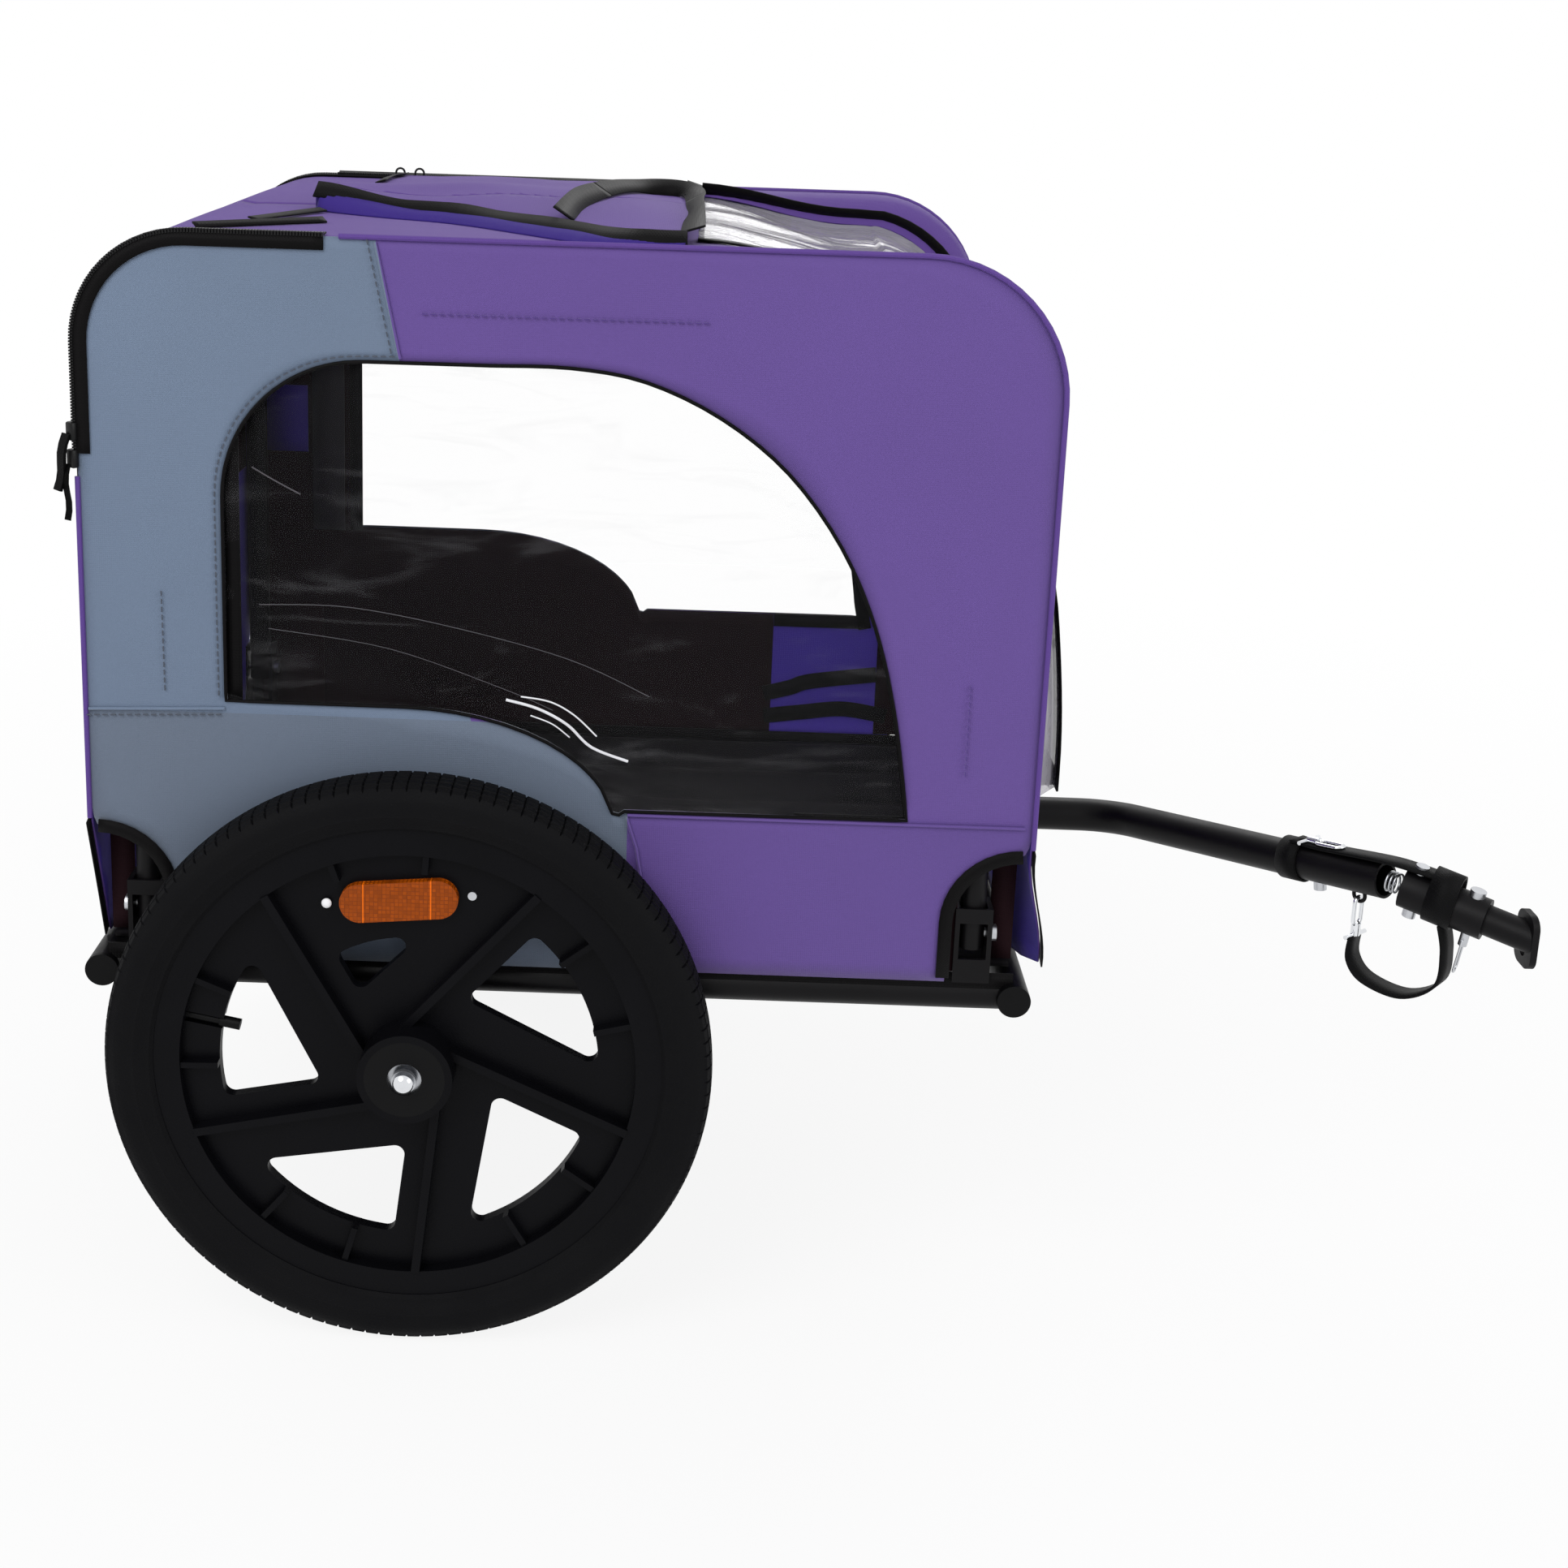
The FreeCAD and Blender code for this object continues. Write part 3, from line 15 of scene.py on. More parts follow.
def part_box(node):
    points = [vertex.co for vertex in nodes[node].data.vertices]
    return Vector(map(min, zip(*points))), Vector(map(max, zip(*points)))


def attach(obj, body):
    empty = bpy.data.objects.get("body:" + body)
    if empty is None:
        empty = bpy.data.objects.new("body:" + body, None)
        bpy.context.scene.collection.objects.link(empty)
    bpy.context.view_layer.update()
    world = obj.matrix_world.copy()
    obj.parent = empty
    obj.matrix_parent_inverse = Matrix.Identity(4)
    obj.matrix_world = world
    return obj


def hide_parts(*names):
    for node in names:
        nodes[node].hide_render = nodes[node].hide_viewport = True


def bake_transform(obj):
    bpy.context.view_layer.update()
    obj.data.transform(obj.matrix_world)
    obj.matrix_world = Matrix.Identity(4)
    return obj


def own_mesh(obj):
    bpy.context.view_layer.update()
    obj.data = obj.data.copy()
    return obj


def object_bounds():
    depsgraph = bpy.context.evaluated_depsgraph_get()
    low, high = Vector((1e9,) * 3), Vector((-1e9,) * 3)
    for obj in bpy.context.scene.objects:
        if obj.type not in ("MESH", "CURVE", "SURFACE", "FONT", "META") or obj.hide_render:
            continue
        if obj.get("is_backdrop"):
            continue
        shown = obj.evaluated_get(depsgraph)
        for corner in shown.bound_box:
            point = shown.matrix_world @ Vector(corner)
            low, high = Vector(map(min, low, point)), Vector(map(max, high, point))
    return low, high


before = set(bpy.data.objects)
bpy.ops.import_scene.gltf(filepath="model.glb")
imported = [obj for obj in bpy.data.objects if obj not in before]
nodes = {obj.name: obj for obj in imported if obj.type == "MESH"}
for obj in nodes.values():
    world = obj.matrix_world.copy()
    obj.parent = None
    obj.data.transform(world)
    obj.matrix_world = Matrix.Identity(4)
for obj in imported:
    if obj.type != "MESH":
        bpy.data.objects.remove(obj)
cad_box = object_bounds()
MM = 0.001
SIDES = {"right": -1, "left": 1}


def box_of(node):
    """Lowest and highest corner of a CAD node."""
    return [Vector(corner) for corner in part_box(node)]


def middle_of(node):
    """Middle of a CAD node's box."""
    low, high = box_of(node)
    return (low + high) / 2


AXLE = middle_of("right_tyre")
print("nodes:", len(nodes), "axle at", [round(value, 4) for value in AXLE])


# %% [markdown]
# ## Places and pieces
# All places below are millimetres measured from the wheels' axle along X, from the middle of the trailer
# along Y and from the floor along Z, as one would read them off with a tape. One helper turns them into
# the frame's metres and one turns them back. Another makes a named object of a finished bmesh, and a last
# one turns the faces of an open sheet to its outer side, which Blender can't know by itself.

# %% Helpers for places and pieces
def spot(x, y, z):
    """Point in metres from millimetres along, across and above the floor."""
    return Vector((AXLE.x + x * MM, y * MM, z * MM))


def side_view(point):
    """Millimetres along and above the floor of a point in metres."""
    return (point.x - AXLE.x) / MM, point.z / MM


def make_piece(name, bm, *finishes, sharp=35):
    """Named object from a bmesh, shaded smooth up to the given angle."""
    mesh = bpy.data.meshes.new(name)
    bm.to_mesh(mesh)
    bm.free()
    for finish in finishes:
        mesh.materials.append(finish)
    mesh.polygons.foreach_set("use_smooth", [True] * len(mesh.polygons))
    mesh.set_sharp_from_angle(angle=math.radians(sharp))
    piece = bpy.data.objects.new(name, mesh)
    bpy.context.scene.collection.objects.link(piece)
    return piece


def dress(piece, body, slot, *replaced):
    """Piece rides on a body and may stand for CAD nodes, which it hides. The slot is not used."""
    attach(piece, body)
    if replaced:
        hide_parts(*replaced)
    return piece


def face_out(bm, way):
    """Turns a sheet's faces to its outer side. Way is the outward direction, or a function of the face."""
    bmesh.ops.recalc_face_normals(bm, faces=bm.faces)
    ways = [way(face) if callable(way) else Vector(way) for face in bm.faces]
    if sum(face.normal.dot(out) for face, out in zip(bm.faces, ways)) < 0:
        bmesh.ops.reverse_faces(bm, faces=bm.faces)


# %% [markdown]
# ## Camera
# The photograph looks at the right side from a little above. The focal length and the middle of the
# picture were fitted to the wheel and the corners of the cabin. Only the part of the shift that the
# framing needs is used.

# %% Camera
PHOTO_PX = 1932
FOCAL_PX = 2483.4
MIDDLE_U, MIDDLE_V = 850.4, 600.0
YAW, ROLL, PITCH = 0.005, 0.033, 0.227
EYE = (223.1, -1834.4, 1092.6)
SENSOR = 36.0
UP = Vector((0, 0, 1))

heading = Vector((math.cos(YAW), math.sin(YAW), 0))
level = Vector((-math.sin(YAW), math.cos(YAW), 0))
forward = level * math.cos(PITCH) - UP * math.sin(PITCH)
upright = level * math.sin(PITCH) + UP * math.cos(PITCH)
right_way = heading * math.cos(ROLL) + upright * math.sin(ROLL)
up_way = upright * math.cos(ROLL) - heading * math.sin(ROLL)

lens = bpy.data.cameras.new("camera")
lens.sensor_width = SENSOR
lens.lens = FOCAL_PX / PHOTO_PX * SENSOR
lens.shift_x = (PHOTO_PX / 2 - MIDDLE_U) / PHOTO_PX
lens.shift_y = (MIDDLE_V - PHOTO_PX / 2) / PHOTO_PX
camera = bpy.data.objects.new("camera", lens)
aim = Matrix((right_way, up_way, -forward)).transposed().to_4x4()
camera.matrix_world = Matrix.Translation(spot(*EYE)) @ aim
bpy.context.scene.collection.objects.link(camera)
bpy.context.scene.camera = camera
print("lens", round(lens.lens, 2), "shift", round(lens.shift_x, 4), round(lens.shift_y, 4))


# %% [markdown]
# ## Nodes
# A few short helpers keep the node code readable: one adds a node and links or sets its inputs, one
# starts a material, one starts a group with named sockets, and the others are the small sums and mixes
# that come up again and again.

# %% Node helpers
def add(tree, kind, settings=None, **inputs):
    """New shader node. A socket given as a value is linked, any other value is set."""
    node = tree.nodes.new("ShaderNode" + kind)
    for key, value in (settings or {}).items():
        setattr(node, key, value)
    for key, value in inputs.items():
        index = key.removeprefix("in_")
        socket = node.inputs[int(index)] if index.isdigit() else node.inputs[key.replace("_", " ")]
        if isinstance(value, bpy.types.NodeSocket):
            tree.links.new(value, socket)
        else:
            socket.default_value = value
    return node


def colour(red, green, blue):
    """Linear colour from the 0 to 255 values that one reads in a picture."""
    parts = [value / 255 for value in (red, green, blue)]
    return [part / 12.92 if part <= 0.04045 else ((part + 0.055) / 1.055) ** 2.4 for part in parts] + [1.0]


def new_finish(name, **sockets):
    """Material with a Principled shader whose plain values are set by name."""
    material = bpy.data.materials.new(name)
    material.use_nodes = True
    tree = material.node_tree
    shader = tree.nodes["Principled BSDF"]
    for key, value in sockets.items():
        shader.inputs[key.replace("_", " ")].default_value = value
    return material, tree, shader


def new_group(name, inputs, outputs):
    """Empty shader group with number inputs and number outputs."""
    tree = bpy.data.node_groups.new(name, "ShaderNodeTree")
    for label, value in inputs.items():
        socket = tree.interface.new_socket(name=label, in_out="INPUT", socket_type="NodeSocketFloat")
        socket.default_value = value
    for label in outputs:
        tree.interface.new_socket(name=label, in_out="OUTPUT", socket_type="NodeSocketFloat")
    return tree, tree.nodes.new("NodeGroupInput").outputs, tree.nodes.new("NodeGroupOutput").inputs


def place_group(tree, group, **values):
    """Outputs of a group node in a material, with its own values."""
    node = tree.nodes.new("ShaderNodeGroup")
    node.node_tree = group
    for key, value in values.items():
        node.inputs[key].default_value = value
    return node.outputs


def object_place(tree):
    """Socket with the place in the object, which is the place in the frame."""
    return add(tree, "TexCoord").outputs["Object"]


def split_axes(tree, place):
    """Sockets with the three parts of a place."""
    return add(tree, "SeparateXYZ", Vector=place).outputs


# %% Sums, mixes and bumps
def math_node(tree, operation, first, second=0.0, clamp=False):
    """Result socket of one arithmetic node."""
    settings = {"operation": operation, "use_clamp": clamp}
    return add(tree, "Math", settings, in_0=first, in_1=second).outputs[0]


def times_plus(tree, value, factor, offset):
    """Value times a factor plus an offset."""
    return add(tree, "Math", {"operation": "MULTIPLY_ADD"}, in_0=value, in_1=factor, in_2=offset).outputs[0]


def choose(tree, mask, first, second):
    """First colour where the mask is zero, second colour where it is one."""
    return add(tree, "Mix", {"data_type": "RGBA"}, in_0=mask, in_6=first, in_7=second).outputs[2]


def tinted(tree, base, factor):
    """Base colour made darker or lighter by a factor around one."""
    grey = add(tree, "CombineColor", Red=factor, Green=factor, Blue=factor).outputs[0]
    mix = add(tree, "Mix", {"data_type": "RGBA", "blend_type": "MULTIPLY"}, in_0=1.0, in_6=base, in_7=grey)
    return mix.outputs[2]


def bump(tree, shader, height, distance, strength=1.0):
    """Bump on the shader's normal: a height times a distance in metres."""
    node = add(tree, "Bump", Height=height, Distance=distance, Strength=strength)
    tree.links.new(node.outputs["Normal"], shader.inputs["Normal"])


# %% [markdown]
# ## Effects that many finishes share
# The cover is coated polyester: a plain weave of threads about a millimetre apart that shows more as a
# soft speckle than as lines. Moulded and painted pieces have a fine grain and a few dull patches. Each
# effect is one group, so every finish can place it with its own scale.

# %% Weave group
THREAD_SHARE, SPECK_DEPTH = 0.35, 0.10
weave, weave_in, weave_out = new_group(
    "weave", {"Threads": 900.0, "Patch": 5.0, "Depth": 0.12}, ("Height", "Shade"))
place = object_place(weave)
ridges = []
for part in list(split_axes(weave, place)):
    turns = math_node(weave, "MULTIPLY", part, weave_in["Threads"])
    ridges.append(math_node(weave, "SINE", math_node(weave, "MULTIPLY", turns, math.tau)))
threads = math_node(weave, "ADD", math_node(weave, "MULTIPLY", ridges[0], ridges[2]),
                    math_node(weave, "MULTIPLY", ridges[1], math_node(weave, "ADD", ridges[0], ridges[2])))
slubs = add(weave, "TexNoise", Vector=place, Scale=700.0, Detail=2.0).outputs[0]
height = math_node(weave, "ADD", math_node(weave, "MULTIPLY", threads, THREAD_SHARE), slubs)
weave.links.new(height, weave_out["Height"])
patches = add(weave, "TexNoise", Vector=place, Scale=weave_in["Patch"], Detail=3.0,
              Roughness=0.55).outputs[0]
swing = math_node(weave, "MULTIPLY", math_node(weave, "SUBTRACT", patches, 0.5), weave_in["Depth"])
speck = math_node(weave, "MULTIPLY", math_node(weave, "SUBTRACT", slubs, 0.5), SPECK_DEPTH)
weave.links.new(math_node(weave, "ADD", math_node(weave, "ADD", swing, speck), 1.0), weave_out["Shade"])

# %% Grain group
grain, grain_in, grain_out = new_group("grain", {"Fine": 900.0, "Patch": 14.0}, ("Height", "Dull"))
place = object_place(grain)
fine = add(grain, "TexNoise", Vector=place, Scale=grain_in["Fine"], Detail=3.0).outputs[0]
grain.links.new(fine, grain_out["Height"])
dull = add(grain, "TexNoise", Vector=place, Scale=grain_in["Patch"], Detail=4.0, Roughness=0.6).outputs[0]
spread = add(grain, "MapRange", Value=dull, in_1=0.35, in_2=0.7).outputs[0]
grain.links.new(spread, grain_out["Dull"])
print("groups:", [group.name for group in bpy.data.node_groups])


# %% [markdown]
# ## Cloth finishes
# One function lays the weave on a shader, and another makes a plain cloth of any colour with it. The side
# panels are two-tone on the real trailer: grey-blue at the rear and round the wheel arch, purple
# elsewhere. The seams run along plain lines, so the panel's own place in the frame tells which colour a
# point has, and no picture is needed.

# %% Plain cloths
THREADS = 620.0
THREAD_HEIGHT, THREAD_STRENGTH = 0.0004, 0.35


def weave_over(tree, shader, base, depth=0.16, threads=THREADS):
    """Weave on a shader: its shade on the base colour, its height as a bump."""
    woven = place_group(tree, weave, Depth=depth, Threads=threads)
    tree.links.new(tinted(tree, base, woven["Shade"]), shader.inputs["Base Color"])
    bump(tree, shader, woven["Height"], THREAD_HEIGHT, THREAD_STRENGTH)


def cloth(name, base, rough=0.75, depth=0.14, threads=THREADS, gloss=0.3, sheen=0.25):
    """Woven cloth of one colour."""
    material, tree, shader = new_finish(name, Roughness=rough, Specular_IOR_Level=gloss, Sheen_Weight=sheen,
                                        Sheen_Roughness=0.45)
    weave_over(tree, shader, base, depth, threads)
    return material


PURPLE = colour(94, 68, 142)
GREY_BLUE = colour(103, 119, 142)
DARK_LINING = colour(34, 19, 23)
DARK = dict(gloss=0.08, sheen=0.03)
purple_cloth = cloth("purple_cloth", PURPLE, gloss=0.15, sheen=0.06)
# Painted shade: a darker copy of the purple for the flap's layer tucked under its fold.
shade_painted_purple = cloth("shade_painted_purple_cloth", colour(60, 43, 128), gloss=0.1, sheen=0.03)
lining = cloth("dark_lining", DARK_LINING, gloss=0.04, sheen=0.0)
purple_lining = cloth("purple_lining", colour(66, 50, 150), sheen=0.1)
mat_cloth = cloth("mat_cloth", colour(15, 13, 16), **DARK)
binding_cloth = cloth("black_binding", colour(8, 7, 8), rough=0.6, threads=420.0, **DARK)
webbing = cloth("black_webbing", colour(8, 8, 9), rough=0.55, threads=380.0, **DARK)
print("plain cloths:", len(bpy.data.materials))

# %% Two-tone side cloth
SEAM_X, SEAM_Z, SEAM_LEAN = -13.0, 826.0, -0.197
ARCH_END_X, ARCH_SEAM_Z = 173.0, 535.0
LOWER_SEAM_Z, LINING_END_X = 462.0, 309.0


def side_cloth(name, purple, grey, arch_grey, low_purple):
    """Cloth whose colour changes at the panel's sewn seams."""
    material, tree, shader = new_finish(name, Roughness=0.75, Sheen_Weight=0.25, Sheen_Roughness=0.45)
    axes = split_axes(tree, object_place(tree))
    seam_at_floor = AXLE.x + (SEAM_X - SEAM_Z * SEAM_LEAN) * MM
    rear = math_node(tree, "LESS_THAN", axes[0], times_plus(tree, axes[2], SEAM_LEAN, seam_at_floor))
    in_arch = math_node(tree, "LESS_THAN", axes[0], AXLE.x + ARCH_END_X * MM)
    low = math_node(tree, "LESS_THAN", axes[2], ARCH_SEAM_Z * MM)
    below = math_node(tree, "LESS_THAN", axes[2], LOWER_SEAM_Z * MM)
    upper = choose(tree, rear, purple, grey)
    lower = choose(tree, in_arch, choose(tree, below, purple, low_purple), arch_grey)
    weave_over(tree, shader, choose(tree, low, upper, lower))
    return material


def lining_cloth(name, rear, front):
    """Inside of a side panel: a dark patch behind the wheel arch, plain cloth ahead of it."""
    material, tree, shader = new_finish(name, Roughness=0.8, Specular_IOR_Level=0.1)
    along = split_axes(tree, object_place(tree))[0]
    behind = math_node(tree, "LESS_THAN", along, AXLE.x + LINING_END_X * MM)
    weave_over(tree, shader, choose(tree, behind, front, rear))
    return material


two_tone = side_cloth("two_tone_cloth", PURPLE, GREY_BLUE, colour(98, 110, 128), colour(91, 66, 139))
# The purple ahead of the arch is lighter and bluer than the cloth itself: painted light that makes up for
# the shade inside the cabin.
side_lining_painted_light = lining_cloth("side_lining_painted_light", DARK_LINING, colour(104, 82, 216))
print("two-tone cloths:", two_tone.name, side_lining_painted_light.name)


# %% [markdown]
# ## Clear vinyl
# The windows are soft clear vinyl. Seen square on it hardly shows. Seen along the sheet it turns silver,
# because it mirrors the room. That reflection is painted: the sheet's pale tint is nearly clear and grows
# more solid towards grazing angles, and streaks of slight haze, which also paint highlights, follow the
# creases.

# %% Vinyl
STREAK_LEAN, STREAK_SCALE = (0, 0.35, 0), (5.0, 18.0, 24.0)
STREAK_HEIGHT, STREAK_STRENGTH = 0.004, 0.5


def vinyl(name, tint, clear, haze, silver):
    """Clear sheet: clear is the least opacity, haze what creases add as haze and painted highlight, silver
    the painted reflection that a grazing look adds.
    """
    material, tree, shader = new_finish(name, Base_Color=tint, Roughness=0.08, IOR=1.45)
    stretch = add(tree, "Mapping", Vector=object_place(tree), Rotation=STREAK_LEAN, Scale=STREAK_SCALE)
    folds = add(tree, "TexNoise", Vector=stretch.outputs[0], Scale=1.0, Detail=4.0, Roughness=0.6,
                Distortion=1.4).outputs[0]
    # Streaks along the folds: slight haze that also paints highlights on the sheet.
    haze_and_highlight_streak = add(tree, "MapRange", Value=folds, in_1=0.56, in_2=0.78).outputs[0]
    # Painted reflection: the pale tint grows more opaque towards grazing angles.
    facing = add(tree, "LayerWeight", Blend=0.35).outputs["Facing"]
    painted_reflection = math_node(tree, "POWER", facing, 2.0)
    hazy = times_plus(tree, haze_and_highlight_streak, haze, clear)
    alpha = math_node(tree, "ADD", hazy, math_node(tree, "MULTIPLY", painted_reflection, silver), clamp=True)
    tree.links.new(alpha, shader.inputs["Alpha"])
    bump(tree, shader, folds, STREAK_HEIGHT, STREAK_STRENGTH)
    return material


# Both sheets paint the room's reflection with their pale tint. The roof's sheet is seen along its length,
# so it is grey and partly opaque throughout, a painted silver reflection.
window_vinyl = vinyl("window_vinyl", colour(225, 225, 230), 0.005, 0.03, 0.16)
roof_vinyl = vinyl("roof_vinyl", colour(186, 183, 192), 0.4, 0.4, 0.4)
print("vinyls:", window_vinyl.name, roof_vinyl.name)


# %% [markdown]
# ## Hard finishes
# The tubes are powder coated black, the wheels moulded black plastic, the bolts zinc plated and the hooks
# and buttons bright. They differ in roughness, grain and patches more than in colour, so one function
# serves them all. A reflector's lens is different: small prisms behind clear plastic, which a raster of
# cells stands for.

# %% Hard finishes
PATCH_SHADE, PATCH_DARKEST, GRAIN_STRENGTH = 0.25, 0.88, 0.5


def coating(name, base, rough, spread, grain_depth, metal=0.0, fine=900.0, gloss=0.5):
    """Hard surface with a fine grain and dull patches."""
    material, tree, shader = new_finish(name, Metallic=metal, Specular_IOR_Level=gloss)
    surface = place_group(tree, grain, Fine=fine)
    tree.links.new(times_plus(tree, surface["Dull"], spread, rough), shader.inputs["Roughness"])
    shade = times_plus(tree, surface["Dull"], PATCH_SHADE, PATCH_DARKEST)
    tree.links.new(tinted(tree, base, shade), shader.inputs["Base Color"])
    bump(tree, shader, surface["Height"], grain_depth, GRAIN_STRENGTH)
    return material


powder_black = coating("powder_black", colour(9, 8, 10), 0.36, 0.16, 0.0003, fine=1400.0, gloss=0.14)
moulded_black = coating("moulded_black", colour(9, 9, 12), 0.34, 0.16, 0.0003, fine=700.0, gloss=0.07)
cap_black = coating("cap_black", colour(8, 8, 9), 0.42, 0.15, 0.0003, gloss=0.11)
rubber = coating("tyre_rubber", colour(11, 11, 13), 0.6, 0.2, 0.0008, fine=500.0, gloss=0.08)
zinc = coating("zinc_steel", colour(196, 198, 202), 0.26, 0.2, 0.0001, metal=1.0)
bright = coating("bright_chrome", colour(226, 228, 231), 0.07, 0.08, 0.00002, metal=1.0)
bearing = coating("bearing_steel", colour(170, 172, 176), 0.22, 0.15, 0.00005, metal=1.0)
zip_metal = coating("zip_black", colour(12, 12, 13), 0.3, 0.2, 0.0001, gloss=0.2)
plug_white = coating("white_plug", colour(240, 240, 242), 0.3, 0.1, 0.0001)
# Painted highlights: the white finish paints the glints on the window's creases, and the grey one paints
# faint highlights along its long folds.
glint_white = coating("painted_glint_crease", colour(236, 236, 240), 0.2, 0.1, 0.0001)
faint_glint_grey = coating("faint_glint_crease", colour(74, 70, 76), 0.3, 0.1, 0.0001)

# %% Lenses of the reflectors
PRISMS, PRISM_HEIGHT, PRISM_STRENGTH = 300.0, 0.002, 0.6
RIB_HALF_W = 0.6 * MM


def lens_finish(name, base, ribs=()):
    """Reflector lens: coloured plastic over a raster of small prisms, with a few clear ribs across it."""
    material, tree, shader = new_finish(name, Roughness=0.22, Specular_IOR_Level=0.15)
    place = object_place(tree)
    prisms = add(tree, "TexVoronoi", {"distance": "CHEBYCHEV"}, Vector=place, Scale=PRISMS,
                 Randomness=0.1).outputs[0]
    light = add(tree, "MapRange", Value=prisms, in_1=0.1, in_2=0.5, in_3=1.2, in_4=0.35).outputs[0]
    along = split_axes(tree, place)[0]
    for rib in ribs:
        off = math_node(tree, "ABSOLUTE", math_node(tree, "SUBTRACT", along, AXLE.x + rib * MM))
        light = math_node(tree, "ADD", light, math_node(tree, "LESS_THAN", off, RIB_HALF_W))
    tree.links.new(tinted(tree, base, light), shader.inputs["Base Color"])
    bump(tree, shader, prisms, PRISM_HEIGHT, PRISM_STRENGTH)
    return material


amber = lens_finish("amber_lens", colour(196, 88, 2), ribs=(-36.3, 18.2))
white_lens = lens_finish("white_lens", colour(206, 208, 212))
red_lens = lens_finish("red_lens", colour(150, 16, 16))
print("finishes:", len(bpy.data.materials))

# %% Finishes on the CAD nodes
NODE_FINISHES = {
    powder_black: ("front_cross_tube", "rear_cross_tube", "arm_bracket", "tow_arm", "coupler_sleeve",
                   "axle_hitch", "side_rail", "side_frame", "fold_brackets", "wheel_bracket"),
    cap_black: ("tube_end_caps", "hub_cap", "valve"),
    moulded_black: ("wheel",),
    zinc: ("arm_pivot_bolt", "arm_bolt", "coupler_bolt", "hitch_pin", "hitch_pin_clip", "hitch_spring",
           "fold_bolts", "axle", "reflector_screw"),
    bright: ("snap_hooks", "release_button"),
    bearing: ("wheel_bearings",),
    webbing: ("arm_webbing",),
    amber: ("wheel_reflector",),
    white_lens: ("front_reflectors",),
    red_lens: ("rear_reflectors",),
    purple_cloth: ("skirt", "side_panel", "front_panel", "roof_panel", "roof_flap", "rear_panel",
                   "rear_flap"),
    mat_cloth: ("floor_mat",),
    window_vinyl: ("side_window", "front_window", "skylight"),
    rubber: ("tyre",),
}
finished = 0
for finish, names in NODE_FINISHES.items():
    for base in names:
        for name in (base, "right_" + base, "left_" + base):
            if name in nodes:
                nodes[name].data.materials.clear()
                nodes[name].data.materials.append(finish)
                finished += 1
print("finished nodes:", finished, "of", len(nodes))


# %% [markdown]
# ## Outlines of the cover
# Seen from the side the cabin is a rectangle with two rounded top corners, and each side window is a half
# round shape with the wheel arch cut into its lower edge. Both outlines are short lists of lines and
# arcs. A ray from the middle of the window meets each outline once, so equal counts of points lie on
# both, ready to be bridged. A few rays are turned to meet the sharp corners, so that no corner is cut
# off.

# %% Outline of the cabin
FRONT_X, REAR_X, TOP_Z, HEM_Z = 505.5, -267.5, 923.0, 321.0
FRONT_ROUND, REAR_ROUND, ARC_STEPS = 112.0, 88.0, 14
HALF_W = 289.3
NOTCH_REAR_X, NOTCH_FRONT_X, NOTCH_Z, NOTCH_R = -203.0, 440.0, 432.0, 58.0
NOTCH_STEPS, NOTCH_EDGE = 8, 14


def arc(x, z, radius, start, end, count=ARC_STEPS, squeeze=1.0):
    """Points on an arc about x, z from one angle to another, in degrees. Squeeze flattens it upwards."""
    angles = [math.radians(start + (end - start) * step / count) for step in range(count + 1)]
    return [(x + radius * math.cos(turn), z + radius * squeeze * math.sin(turn)) for turn in angles]


def cabin_line(grow=0.0):
    """From the rear hem over the roof to the front hem, seen from the right side."""
    line = [(REAR_X - grow, HEM_Z)]
    line += arc(REAR_X + REAR_ROUND, TOP_Z - REAR_ROUND, REAR_ROUND + grow, 180, 90)
    line += arc(FRONT_X - FRONT_ROUND, TOP_Z - FRONT_ROUND, FRONT_ROUND + grow, 90, 0)
    return line + [(FRONT_X + grow, HEM_Z)]


def side_outline():
    """Side panel with a rounded cut-out at each lower corner for the frame's bracket."""
    low, high = NOTCH_Z - NOTCH_R, NOTCH_Z + NOTCH_EDGE
    front = [(FRONT_X - 1, high)] + arc(NOTCH_FRONT_X + NOTCH_R, low, NOTCH_R, 90, 180, NOTCH_STEPS)
    rear = arc(NOTCH_REAR_X - NOTCH_R, low, NOTCH_R, 0, 90, NOTCH_STEPS) + [(REAR_X + 1, high)]
    return cabin_line()[1:-1] + front + [(NOTCH_FRONT_X, HEM_Z), (NOTCH_REAR_X, HEM_Z)] + rear


print("side panel:", len(side_outline()), "corners")


# %% Outline of the side window
WINDOW_MIDDLE = Vector((120.0, 650.0))
WINDOW_REAR, WINDOW_FOOT, WINDOW_FRONT = (-153.0, 546.0), (170.0, 463.0), (400.0, 463.0)
WINDOW_BOW = ((60.0, 826.0), (120.0, 826.0), (178.0, 817.0), (238.0, 790.0), (292.0, 748.0), (336.0, 690.0),
              (366.0, 625.0), (386.0, 550.0), WINDOW_FRONT)


def smooth_line(points, samples=8):
    """Points along a smooth line through the given ones."""
    result = []
    ends = [points[0]] + list(points) + [points[-1]]
    for before, first, second, after in zip(ends, ends[1:], ends[2:], ends[3:]):
        for step in range(samples):
            t = step / samples
            result.append(0.5 * ((2 * first) + (second - before) * t
                                 + (2 * before - 5 * first + 4 * second - after) * t * t
                                 + (3 * first - before - 3 * second + after) * t ** 3))
    return result + [points[-1].copy()]


def window_outline():
    """Side window: straight rear edge, round top, long bowed front edge and the wheel arch below."""
    line = [WINDOW_REAR, (-153.0, 714.0)] + arc(-41.0, 714.0, 112.0, 180, 90)
    line += [tuple(point) for point in smooth_line([Vector(corner) for corner in WINDOW_BOW], 4)]
    return line + [WINDOW_FOOT] + arc(-10.0, 448.0, 172.0, 5, 90, 12, squeeze=0.57)


print("side window:", len(window_outline()), "corners")


